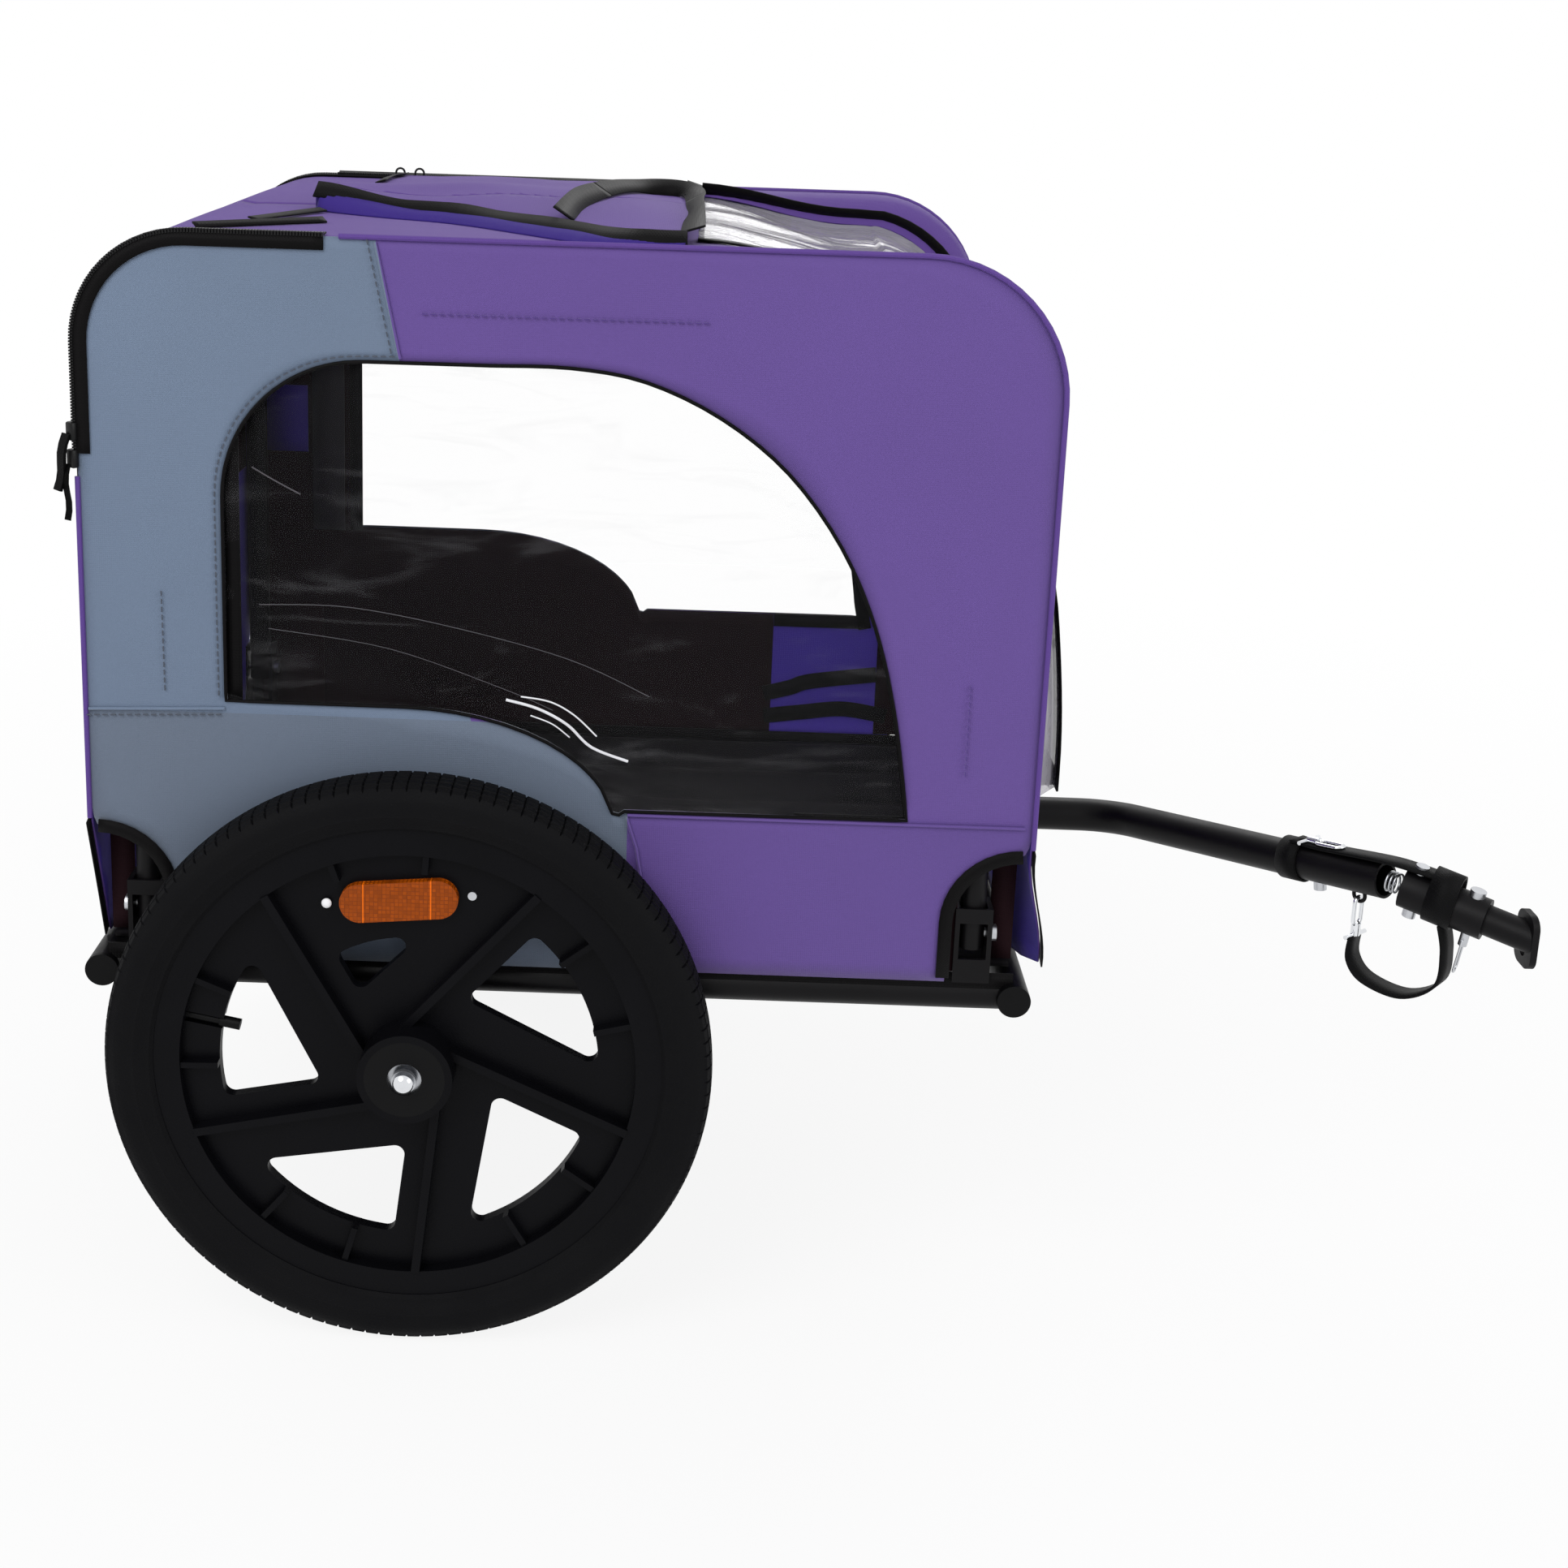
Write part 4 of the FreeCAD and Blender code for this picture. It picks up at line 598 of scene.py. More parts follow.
# %% Points on both outlines
def ray_hit(outline, turn):
    """Where a ray from the window's middle leaves a closed outline."""
    way = Vector((math.cos(turn), math.sin(turn)))
    reach = 0.0
    for first, second in zip(outline, outline[1:] + outline[:1]):
        edge = Vector(second) - Vector(first)
        offset = Vector(first) - WINDOW_MIDDLE
        cross = way.cross(edge)
        if abs(cross) < 1e-9:
            continue
        along, share = offset.cross(edge) / cross, offset.cross(way) / cross
        if -1e-9 <= share <= 1 + 1e-9:
            reach = max(reach, along)
    return WINDOW_MIDDLE + way * reach


def ring(bm, points, y):
    """Closed ring of edges through points in the side view, at one place across."""
    verts = [bm.verts.new(spot(x, y, z)) for x, z in points]
    return [bm.edges.new(pair) for pair in zip(verts, verts[1:] + verts[:1])]


RAYS = 240
CORNERS = (WINDOW_FRONT, WINDOW_FOOT, WINDOW_REAR, (NOTCH_FRONT_X, HEM_Z), (NOTCH_REAR_X, HEM_Z),
           (FRONT_X, NOTCH_Z), (REAR_X, NOTCH_Z))
turns = [math.tau * step / RAYS for step in range(RAYS)]
for x, z in CORNERS:
    turn = math.atan2(z - WINDOW_MIDDLE.y, x - WINDOW_MIDDLE.x) % math.tau
    turns[round(turn / math.tau * RAYS) % RAYS] = turn
panel_edge, window_edge = ([ray_hit(outline, turn) for turn in turns]
                           for outline in (side_outline(), window_outline()))
print("window", [round(max(row) - min(row)) for row in zip(*window_edge)], "mm")

# %% [markdown]
# ## Tapes, welts and stitches
# Cut edges of the cover are bound with black tape, and its seams show as a small roll of cloth with a row
# of stitches beside it. A tape is a strip of faces between pairs of points laid across its line, because
# it turns with the cloth it lies on. The roll is a thin tube along a line, and the stitches are short
# pegs. These helpers come first, because every part of the cover uses them.

# %% Lines and tapes
CLOTH, TAPE, VINYL = 1.6 * MM, 1.4 * MM, 0.6 * MM


def evenly(line, step):
    """Points along a line of corners no further apart than a step."""
    points = [Vector(line[0])]
    for first, second in zip(line, line[1:]):
        run = Vector(second) - Vector(first)
        count = max(1, math.ceil(run.length / step))
        points += [Vector(first) + run * (index + 1) / count for index in range(count)]
    return points


def line_length(line):
    """Length of a line of points."""
    return sum((second - first).length for first, second in zip(line, line[1:]))


def run_along(line, index):
    """Direction of a line of points at one of them."""
    return (line[min(index + 1, len(line) - 1)] - line[max(index - 1, 0)]).normalized()


def tape(bm, line, facing, width, closed=False):
    """Flat tape along a line. Facing is its outward direction, or a function of place and run."""
    pairs = []
    for index, point in enumerate(line):
        along = run_along(line, index)
        out = facing(point, along) if callable(facing) else Vector(facing)
        across = along.cross(out).normalized() * (width * MM / 2)
        pairs.append((bm.verts.new(point - across), bm.verts.new(point + across)))
    steps = list(zip(pairs, pairs[1:])) + ([(pairs[-1], pairs[0])] if closed else [])
    for (low, high), (next_low, next_high) in steps:
        bm.faces.new((low, next_low, next_high, high))


def soften(piece, thickness=CLOTH, inner=1, offset=-1.0):
    """Gives a sheet its thickness, inwards unless an offset says otherwise, with another finish inside."""
    shell = piece.modifiers.new("thickness", "SOLIDIFY")
    shell.thickness = thickness
    shell.offset = offset
    shell.material_offset = inner
    shell.use_even_offset = True


def tape_piece(name, lines, facing, width, finish=binding_cloth, thickness=TAPE, closed=False):
    """Named piece of flat tapes along lines."""
    bm = bmesh.new()
    for line in lines:
        tape(bm, line, facing, width, closed)
    bmesh.ops.recalc_face_normals(bm, faces=bm.faces)
    piece = make_piece(name, bm, finish)
    soften(piece, thickness, inner=0, offset=0.0)
    return piece


# %% Welts and stitches
STITCH_SIZE, STITCH_GAP = (4.2, 0.9, 0.9), 2.4


def welt(name, points, radius, finish, closed=False):
    """Thin round roll of cloth along a line, as a mesh."""
    curve = bpy.data.curves.new(name, "CURVE")
    curve.dimensions = "3D"
    curve.bevel_depth = radius
    curve.bevel_resolution = 2
    curve.use_fill_caps = True
    spline = curve.splines.new("POLY")
    spline.points.add(len(points) - 1)
    for item, point in zip(spline.points, points):
        item.co = (*point, 1)
    spline.use_cyclic_u = closed
    source = bpy.data.objects.new(name + "_line", curve)
    bm = bmesh.new()
    bm.from_mesh(bpy.data.meshes.new_from_object(source))
    bpy.data.objects.remove(source)
    bpy.data.curves.remove(curve)
    bmesh.ops.remove_doubles(bm, verts=bm.verts, dist=1e-6)
    bmesh.ops.recalc_face_normals(bm, faces=bm.faces)
    return make_piece(name, bm, finish)


def block(bm, place, along, out, size):
    """Vertices of a block at a place. Size is along, across and out, in millimetres."""
    length, width, height = (value * MM for value in size)
    across = along.cross(out).normalized()
    basis = Matrix((along * length, across * width, out * height)).transposed().to_4x4()
    return bmesh.ops.create_cube(bm, size=1.0, matrix=Matrix.Translation(place) @ basis)["verts"]


def pegs(bm, line, out, size, gap):
    """Row of small blocks along a line, as stitches or zip teeth, with gaps in millimetres between them."""
    spare = 0.0
    for first, second in zip(line, line[1:]):
        run = second - first
        along = run.normalized() if run.length else Vector((1, 0, 0))
        while spare < run.length:
            block(bm, first + along * spare, along, Vector(out), size)
            spare += (size[0] + gap) * MM
        spare -= run.length


def stitches(bm, line, out):
    """Row of thread pegs on a cloth that faces out."""
    pegs(bm, line, out, STITCH_SIZE, STITCH_GAP)


thread_grey = cloth("grey_thread", colour(74, 80, 92), rough=0.8)
thread_purple = cloth("purple_thread", colour(80, 57, 128), rough=0.8)


# %% [markdown]
# ## Side panels
# Each side panel is one piece of cloth with a hole for the window. The two rings of edges are bridged and
# the long edges subdivided, then the cloth is pushed out a little between the frame and the window,
# because it is pulled tight over the tube and slack below it.

# %% Side panels
PANEL_CUTS, TIGHT_OUT, TIGHT_TOP = 9, 0.3, 30


def fold_blend(piece):
    """Bakes the piece's place into its mesh."""
    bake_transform(piece)


def slack(point):
    """How far the cloth stands out at a place, in millimetres."""
    wave = noise.noise(Vector((point.x * 5.0, point.y * 3.0, point.z * 4.0)))
    fine = noise.noise(Vector((point.x * 14.0, point.y, point.z * 9.0 + 3.0)))
    return TIGHT_OUT + 1.4 * wave + 0.5 * fine


def side_panel(label, side):
    """Cloth of one side, from the hem to the roof, with its window cut out."""
    bm = bmesh.new()
    edges = ring(bm, panel_edge, side * HALF_W) + ring(bm, window_edge, side * HALF_W)
    bridged = bmesh.ops.bridge_loops(bm, edges=edges)
    rings = set(edges)
    across = [edge for edge in bridged["edges"] if edge not in rings]
    bmesh.ops.subdivide_edges(bm, edges=across, cuts=PANEL_CUTS, use_grid_fill=True)
    for vert in bm.verts:
        held = vert.is_boundary or vert.co.z > (TOP_Z - TIGHT_TOP) * MM
        vert.co.y += side * (TIGHT_OUT if held else slack(vert.co)) * MM
    face_out(bm, (0, side, 0))
    piece = make_piece(label + "_side_cloth", bm, two_tone, side_lining_painted_light)
    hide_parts(label + "_side_panel", label + "_skirt")
    soften(piece)
    fold_blend(piece)
    return piece


side_cloths = [side_panel(label, side) for label, side in SIDES.items()]
print("side panels:", [len(piece.data.polygons) for piece in side_cloths], "faces")


# %% [markdown]
# ## Windows in the sides
# The vinyl is sewn behind the edge of the hole and bags a little. Its rings of points run in from that
# edge to one middle point. The creases above the wheel arch are thin rolls laid on the sheet. Their white
# finish is a painted glint, and a few fainter grey rolls are painted highlights along the long folds.

# %% Side windows
WINDOW_IN, WINDOW_BAG, WINDOW_LAP, WINDOW_CUTS = 2.4, 2.5, 1.02, 44
# Rolls in white paint the glints on the creases, and the fainter grey rolls paint faint highlights along
# the long folds.
GLINT_CREASES = (
    (1.2, ((72, 553), (98, 546), (122, 533), (142, 514), (172, 503))),
    (0.7, ((84, 556), (108, 552), (128, 541), (146, 524))),
    (0.6, ((92, 540), (110, 533), (124, 522))),
)
FAINT_GLINT_CREASES = (
    (0.35, ((-127, 626), (-55, 626), (30, 612), (122, 588), (188, 559))),
    (0.3, ((-120, 606), (-22, 593), (70, 562), (110, 545))),
    (0.6, ((-131, 739), (-112, 728), (-93, 718))),
)
CREASE_KINDS = (("crease", glint_white, GLINT_CREASES), ("faint_glint_crease", faint_glint_grey, FAINT_GLINT_CREASES))


def bag_in(points, side):
    """Moves points of a side window inwards, in long shallow folds that fan out over its lower part."""
    for point in points:
        x, z = side_view(point)
        lean = z - 560 + 0.32 * (x + 150)
        fold = 4.0 * math.sin(lean / 16.0) * math.exp(-(lean / 70.0) ** 2) + 2.5 * noise.noise(point * 7.0)
        point.y -= side * (WINDOW_BAG + fold) * MM


def side_window(label, side):
    """Clear sheet of one side, sewn in behind the hole of the panel."""
    bm = bmesh.new()
    y = side * (HALF_W - WINDOW_IN)
    edge = ring(bm, [WINDOW_MIDDLE + (point - WINDOW_MIDDLE) * WINDOW_LAP for point in window_edge], y)
    hub = bm.verts.new(spot(WINDOW_MIDDLE.x, y, WINDOW_MIDDLE.y))
    for line in edge:
        bm.faces.new((line.verts[0], line.verts[1], hub))
    bmesh.ops.subdivide_edges(bm, edges=list(hub.link_edges), cuts=WINDOW_CUTS, use_grid_fill=True)
    bag_in([vert.co for vert in bm.verts if not vert.is_boundary], side)
    bmesh.ops.recalc_face_normals(bm, faces=bm.faces)
    piece = make_piece(label + "_window_vinyl", bm, window_vinyl, sharp=180)
    soften(piece, VINYL, inner=0)
    return dress(piece, label + "_frame", "clear_vinyl", label + "_side_window")


def crease(name, label, radius, line, finish):
    """Thin roll along a crease of a side window."""
    side = SIDES[label]
    points = smooth_line([spot(x, side * (HALF_W - WINDOW_IN), z) for x, z in line], 6)
    bag_in(points, side)
    dress(welt(label + "_" + name, points, radius * MM, finish), label + "_frame", "clear_vinyl")


window_sheets = [side_window(label, side) for label, side in SIDES.items()]
for name, finish, lines in CREASE_KINDS:
    for number, (radius, line) in enumerate(lines, 1):
        crease(f"{name}_{number}", "right", radius, line, finish)
print("windows:", [len(piece.data.polygons) for piece in window_sheets], "faces")


# %% [markdown]
# ## Seams of the side panels
# Purple and grey cloth meet in four seams, and the window's edge has a narrow black binding. The rolls
# lie on the cloth and the stitches run beside them, at the places where the photograph shows them.

# %% Seams of the side panels
def side_line(points, side, out):
    """Line in the side view laid on a side panel, so far out."""
    return [spot(x, side * (HALF_W + out), z) for x, z in points]


def scaled_window(grow):
    """Window's edge moved out by a distance."""
    rays = [point - WINDOW_MIDDLE for point in window_edge]
    return [WINDOW_MIDDLE + ray * (1 + grow / ray.length) for ray in rays]


SEAM_OUT, STITCH_OUT, EDGE_STITCH_OUT, BINDING_OUT = 1.5, 1.9, 1.4, 0.8
SEAM_R, BINDING_R, SEAM_STEP = 1.3 * MM, 1.5 * MM, 12
WINDOW_HEM = 7.0
SEAM_TOP = (SEAM_X + (TOP_Z - SEAM_Z) * SEAM_LEAN, TOP_Z - 3)
SEAMS = {
    "column_seam": (SEAM_TOP, (SEAM_X, SEAM_Z + 4)),
    "arch_seam": ((REAR_X + 2, ARCH_SEAM_Z), (-155, ARCH_SEAM_Z + 4)),
    "low_seam": ((ARCH_END_X, LOWER_SEAM_Z - 3), (NOTCH_FRONT_X + NOTCH_R, LOWER_SEAM_Z - 3)),
    "arch_drop": ((172, 458), (181, 430), (186, 400)),
}
GREY_ROWS = (
    [(x - 6, z) for x, z in SEAMS["column_seam"]],
    [(x, z - 5) for x, z in SEAMS["arch_seam"]],
    ((-203, 555), (-204, 640)),
)
PURPLE_ROWS = (((6, 866), (225, 866)), ((446, 505), (446, 580)))
window_hem = scaled_window(WINDOW_HEM)
rear_hem = [point for point in window_hem if point.x < SEAM_X and point.y > 550]

for label, side in SIDES.items():
    body = label + "_frame"
    out = Vector((0, side, 0))
    edge = side_line(scaled_window(1.0), side, BINDING_OUT)
    binding = welt(label + "_window_binding", edge, BINDING_R, binding_cloth, closed=True)
    dress(binding, body, "black_fabric")
    for name, corners in SEAMS.items():
        line = side_line(evenly(corners, SEAM_STEP), side, SEAM_OUT)
        dress(welt(label + "_" + name, line, SEAM_R, two_tone), body, "purple_fabric")
    for shade, thread, rows in (("grey", thread_grey, GREY_ROWS), ("purple", thread_purple, PURPLE_ROWS)):
        bm = bmesh.new()
        for corners in rows:
            stitches(bm, side_line(evenly(corners, SEAM_STEP), side, STITCH_OUT), out)
        if shade == "grey":
            stitches(bm, side_line(rear_hem, side, EDGE_STITCH_OUT), out)
        dress(make_piece(label + "_" + shade + "_stitches", bm, thread), body, "purple_fabric")
print("seams:", len(SEAMS), "on each side")


# %% [markdown]
# ## Roof, front and rear
# The cloth between the two sides is one long band over the cabin, with a clear sheet let in from the roof
# round the front corner to above the arm. Only the side frames hold the rounded corner up, so between
# them the band cuts across the corner and dips. Lower down the clear sheet bags forward. It is made in a
# right and a left half.

# %% Places on the band
PANE_HALF_W, PANE_REAR_X, PANE_LOW_Z = 218.0, 215.0, 470.0
DOOR_HALF_W, DOOR_LOW_Z, DOOR_TOP_Z = 283.0, 610.0, 833.0
BAND_STEP = 18.0
CABIN_MIDDLE_X, CABIN_MIDDLE_Z = 119.0, 600.0
CORNER_DIP, DIP_REACH, DIP_FULL_Y, DIP_END_Y = 38.0, 190.0, 205.0, 263.0
ROOF_BOW, FRONT_BOW, REAR_BOW = (-3.0, 2.0), (1.0, 1.5), (2.0, 2.5)
FRONT_BAG, BAG_LOW_Z, BAG_HIGH_Z = 25.0, 490.0, 790.0
NOTCH_TOP_Z, NOTCH_IN, CORNER_FLARE, FLARE_Y = 440.0, 43.0, 20.0, 226.0


def ease(value, low, high):
    """Smooth step from zero at low to one at high."""
    share = min(1.0, max(0.0, (value - low) / (high - low)))
    return share * share * (3 - 2 * share)


def band_shift(point):
    """How the band leaves the plain outline of the cabin at a point, in metres."""
    x, z = side_view(point)
    across = abs(point.y) / MM
    inner = 1 - ease(across, DIP_FULL_Y, DIP_END_Y)
    middle = max(0.0, 1 - (point.y / (HALF_W * MM)) ** 2)
    ripple = noise.noise(point * 8.0)

    def bow(steady, rippled):
        """Bow of the cloth, most at its middle."""
        return (steady + rippled * ripple) * middle

    away = max(0.0, FRONT_X - FRONT_ROUND - x) + max(0.0, TOP_Z - FRONT_ROUND - z)
    dip = CORNER_DIP * inner * math.cos(min(1.0, away / DIP_REACH) * math.pi / 2) ** 2
    shift = Vector((-0.707 * dip, 0, -0.707 * dip))
    if z > TOP_Z - 2:
        shift.z += bow(*ROOF_BOW)
    elif x > CABIN_MIDDLE_X:
        flare = ease(NOTCH_TOP_Z - z, 0.0, NOTCH_TOP_Z - HEM_Z) * ease(across, FLARE_Y, HALF_W - NOTCH_IN)
        shift.x += bow(*FRONT_BOW) + CORNER_FLARE * flare
    else:
        shift.x -= bow(*REAR_BOW)
    return shift * MM


def pane_swell(point):
    """How far the clear sheet stands off the front, more and more towards its lower edge, in metres."""
    if point.x < AXLE.x + (FRONT_X - FRONT_ROUND) * MM:
        return Vector((0, 0, 0))
    return Vector((FRONT_BAG * (1 - ease(point.z / MM, BAG_LOW_Z, BAG_HIGH_Z)) * MM, 0, 0))


def band_spot(x, y, z, out=0.0):
    """Place on the band, moved out by a distance."""
    base = spot(x, y, z)
    ahead = x > CABIN_MIDDLE_X
    centre = spot(min(x, FRONT_X - FRONT_ROUND) if ahead else max(x, REAR_X + REAR_ROUND), y,
                  min(z, TOP_Z - (FRONT_ROUND if ahead else REAR_ROUND)))
    normal = (base - centre).normalized() if (base - centre).length > 1e-6 else UP
    return base + band_shift(base) + normal * (out * MM)


def in_pane(centre):
    """Whether a place lies in the clear sheet of the roof and front."""
    x, z = side_view(centre)
    return abs(centre.y) < PANE_HALF_W * MM and x > PANE_REAR_X and z > PANE_LOW_Z


def in_door(centre):
    """Whether a place lies in the rear door."""
    x, z = side_view(centre)
    return abs(centre.y) < DOOR_HALF_W * MM and x < REAR_X + 5 and DOOR_LOW_Z < z < DOOR_TOP_Z


# %% Halves of the band
def band_half(line, side, y_from, stops, keep=None):
    """Strip of cloth along a line in the side view, swept across from one place to the next."""
    bm = bmesh.new()
    verts = [bm.verts.new(spot(x, side * y_from, z)) for x, z in line]
    edges = [bm.edges.new(pair) for pair in zip(verts, verts[1:])]
    reached = y_from
    for stop in stops:
        count = max(1, round((stop - reached) / BAND_STEP))
        for _ in range(count):
            swept = bmesh.ops.extrude_edge_only(bm, edges=edges)["geom"]
            moved = [item for item in swept if isinstance(item, bmesh.types.BMVert)]
            edges = [item for item in swept if isinstance(item, bmesh.types.BMEdge)]
            edges = [edge for edge in edges if all(vert in moved for vert in edge.verts)]
            bmesh.ops.translate(bm, verts=moved, vec=Vector((0, side * (stop - reached) / count * MM, 0)))
        reached = stop
    if keep:
        dropped = [face for face in bm.faces if not keep(face.calc_center_median())]
        bmesh.ops.delete(bm, geom=dropped, context="FACES")
    inside = spot(CABIN_MIDDLE_X, 0, CABIN_MIDDLE_Z)
    face_out(bm, lambda face: face.calc_center_median() - inside)
    return bm


def sink(piece):
    """Gives the piece a mesh of its own."""
    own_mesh(piece)


def settle(piece, slot):
    """Piece of the cover that rides on the chassis."""
    dress(piece, "chassis", slot)
    sink(piece)


rear_arc, front_arc = cabin_line()[1:ARC_STEPS + 2], cabin_line()[ARC_STEPS + 2:-1]
BAND_LINE = evenly(
    [(REAR_X, HEM_Z), (REAR_X, DOOR_LOW_Z), (REAR_X, DOOR_TOP_Z), *rear_arc, (PANE_REAR_X, TOP_Z),
     *front_arc, (FRONT_X, PANE_LOW_Z), (FRONT_X, HEM_Z)], BAND_STEP)
print("band:", round(line_length(BAND_LINE)), "mm from hem to hem")

# %% Band over the cabin
for label, side in SIDES.items():
    bm = band_half(BAND_LINE, side, 0.0, (PANE_HALF_W, DOOR_HALF_W, HALF_W),
                   lambda centre: not in_pane(centre) and not in_door(centre))
    low = [face for face in bm.faces if face.calc_center_median().z < (NOTCH_TOP_Z + BAND_STEP) * MM]
    corner = spot(0, side * HALF_W, NOTCH_TOP_Z)
    slope = Vector((0, side * (NOTCH_TOP_Z - HEM_Z), -NOTCH_IN)).normalized()
    ends = {item for face in low for item in (*face.verts, *face.edges, face)}
    bmesh.ops.bisect_plane(bm, geom=list(ends), plane_co=corner, plane_no=slope)
    cut = [face for face in bm.faces if face.calc_center_median().z < NOTCH_TOP_Z * MM
           and (face.calc_center_median() - corner).dot(slope) > 0]
    bmesh.ops.delete(bm, geom=cut, context="FACES")
    for vert in bm.verts:
        vert.co += band_shift(vert.co)
    piece = make_piece(label + "_cover_band", bm, purple_cloth, purple_lining)
    dress(piece, "chassis", "purple_fabric")
    if label == "right":
        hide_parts("roof_panel", "front_panel", "rear_panel")
    soften(piece)
    sink(piece)
    print(piece.name, len(piece.data.polygons), "faces")


# %% [markdown]
# ## Clear sheet
# The clear sheet is the same band, drawn finer and let in behind the hole. It is gathered at its rear
# edge on the roof, so its folds start there and run out forwards.

# %% Clear sheet in the roof and front
PANE_HEM, PANE_LAP, PANE_EASE, PANE_CUTS = 6.0, 12.0, 1.06, 2
GATHER_Z, ROOF_Z, GATHER_REACH = 0.85, 0.88, 90.0


def pane_folds(point):
    """Height of the folds of the slack clear sheet, in millimetres."""
    ahead = max(0.0, side_view(point)[0] - PANE_REAR_X)
    gather = math.exp(-ahead / GATHER_REACH) if point.z > GATHER_Z else 0.0
    fold = noise.noise(Vector((point.x * 5.0, point.y * 22.0, point.z * 4.0)))
    cross = noise.noise(Vector((point.x * 20.0, point.y * 7.0, point.z * 9.0)))
    return (3.0 + 5.0 * gather) * fold + 2.2 * cross - 3.0


pane_line = [point for point in BAND_LINE
             if point.x > PANE_REAR_X - PANE_LAP and point.y > PANE_LOW_Z - PANE_LAP]
for label, side in SIDES.items():
    bm = band_half(pane_line, side, 0.0, (PANE_HALF_W + PANE_HEM,))
    bmesh.ops.subdivide_edges(bm, edges=bm.edges, cuts=PANE_CUTS, use_grid_fill=True)
    for vert in bm.verts:
        out = UP if vert.co.z > ROOF_Z else Vector((1, 0, 0))
        vert.co += band_shift(vert.co) + pane_swell(vert.co) + out * (pane_folds(vert.co) * MM)
    piece = make_piece(label + "_roof_vinyl", bm, roof_vinyl, sharp=180)
    dress(piece, "chassis", "clear_vinyl", *(("front_window", "skylight") if label == "right" else ()))
    soften(piece, VINYL, inner=0)
    sink(piece)
    print(piece.name, len(piece.data.polygons), "faces")


# %% [markdown]
# ## Tapes of the band
# Black tape binds the sides of the clear sheet, the lower corners that stay open round the fold brackets,
# and the cut-outs of the side panels. Where the clear sheet stands off the cloth, a strip at each side
# and at its foot closes the gap. Purple rolls mark where the band meets the sides.

# %% Tapes of the band
PANE_TAPE_STAND = {"right": (2.0, 0.0), "left": (6.0, 0.9)}
PANE_TAPE_W, FOOT_TAPE_W, HINGE_TAPE_W, CORNER_TAPE_W, NOTCH_TAPE_W = 18.0, 14.0, 12.0, 13.0, 11.0
FOOT_YS, HINGE_YS = range(0, int(PANE_HALF_W) + 8, 15), range(0, int(DOOR_HALF_W), 14)


def outward(point, along):
    """Away from the middle of the cabin, in the side view."""
    return Vector((along.z, 0, -along.x)) if along.length else UP


def swollen(line):
    """Line on the band moved out with the clear sheet."""
    return [point + pane_swell(point) for point in line]


def sinking_tape(name, label, lines, facing, width, finish=binding_cloth, slot="black_fabric"):
    """Tapes along lines on the chassis, as one piece."""
    settle(tape_piece(label + "_" + name, lines, facing, width, finish), slot)


for label, side in SIDES.items():
    lift, lean = PANE_TAPE_STAND[label]
    edge_line = [band_spot(point.x, side * (PANE_HALF_W + 5), point.y, lift) for point in pane_line]
    sinking_tape("pane_tape", label, [swollen(edge_line)],
                 lambda point, along: outward(point, along) + Vector((0, -lean * side, 0)), PANE_TAPE_W)
    low_line = [band_spot(FRONT_X, side * y, PANE_LOW_Z + 4, 3.0) for y in FOOT_YS]
    sinking_tape("pane_low_tape", label, [swollen(low_line)], (1, 0, 0), FOOT_TAPE_W)
    hinge_line = [band_spot(REAR_X, side * y, DOOR_TOP_Z + 3, 1.0) for y in HINGE_YS]
    sinking_tape("door_top_tape", label, [hinge_line], (-1, 0, 0), HINGE_TAPE_W, purple_cloth,
                 "purple_fabric")
    slant = evenly([(HALF_W, NOTCH_TOP_Z), (HALF_W - NOTCH_IN, HEM_Z)], 12)
    slants = [[band_spot(x, side * y, z, 1.5) for y, z in slant] for x in (FRONT_X, REAR_X)]
    sinking_tape("corner_tape", label, slants, (1, 0, 0), CORNER_TAPE_W)
    notches = []
    for x, start, end in ((NOTCH_FRONT_X + NOTCH_R, 90, 180), (NOTCH_REAR_X - NOTCH_R, 90, 0)):
        line = arc(x, NOTCH_Z - NOTCH_R, NOTCH_R + 2, start, end, 10)
        notches.append(side_line(line + [(line[-1][0], HEM_Z + 4)], side, 1.6))
    piece = tape_piece(label + "_notch_tape", notches, (0, side, 0), NOTCH_TAPE_W)
    fold_blend(piece)
print("clear sheet's tapes:", len(pane_line), "points along each side")

# %% Sides and foot of the clear sheet
GUSSET_W, GUSSET_STEP, GUSSET_Y, FOOT_DROP = 34.0, 12, PANE_HALF_W + 4, 3 * MM


def gusset(name, label, outer, inner, finish, slot):
    """Strip that joins the edge of the swollen sheet to the band behind it."""
    bm = bmesh.new()
    edges = []
    for line in (outer, inner):
        verts = [bm.verts.new(point) for point in line]
        edges += [bm.edges.new(pair) for pair in zip(verts, verts[1:])]
    bmesh.ops.bridge_loops(bm, edges=edges)
    piece = make_piece(label + "_" + name, bm, finish, sharp=180)
    soften(piece, VINYL, inner=0, offset=0.0)
    settle(piece, slot)


for label, side in SIDES.items():
    heights = range(int(PANE_LOW_Z), int(BAG_HIGH_Z), GUSSET_STEP)
    upright = [band_spot(FRONT_X, side * GUSSET_Y, z, 1.0) for z in heights]
    widths = [side * GUSSET_W * pane_swell(point).x / FRONT_BAG for point in upright]
    behind = [point + Vector((0, width, 0)) for point, width in zip(upright, widths)]
    gusset("pane_gusset", label, swollen(upright), behind, roof_vinyl, "clear_vinyl")
    places = range(0, int(GUSSET_Y) + 1, GUSSET_STEP)
    foot = [band_spot(FRONT_X, side * y, PANE_LOW_Z, 1.0) for y in places]
    gusset("pane_foot", label, swollen(foot), [point - UP * FOOT_DROP for point in foot], binding_cloth,
           "black_fabric")
    print(label, "clear sheet stands off by", round(pane_swell(foot[0]).x / MM, 1), "mm at its foot")

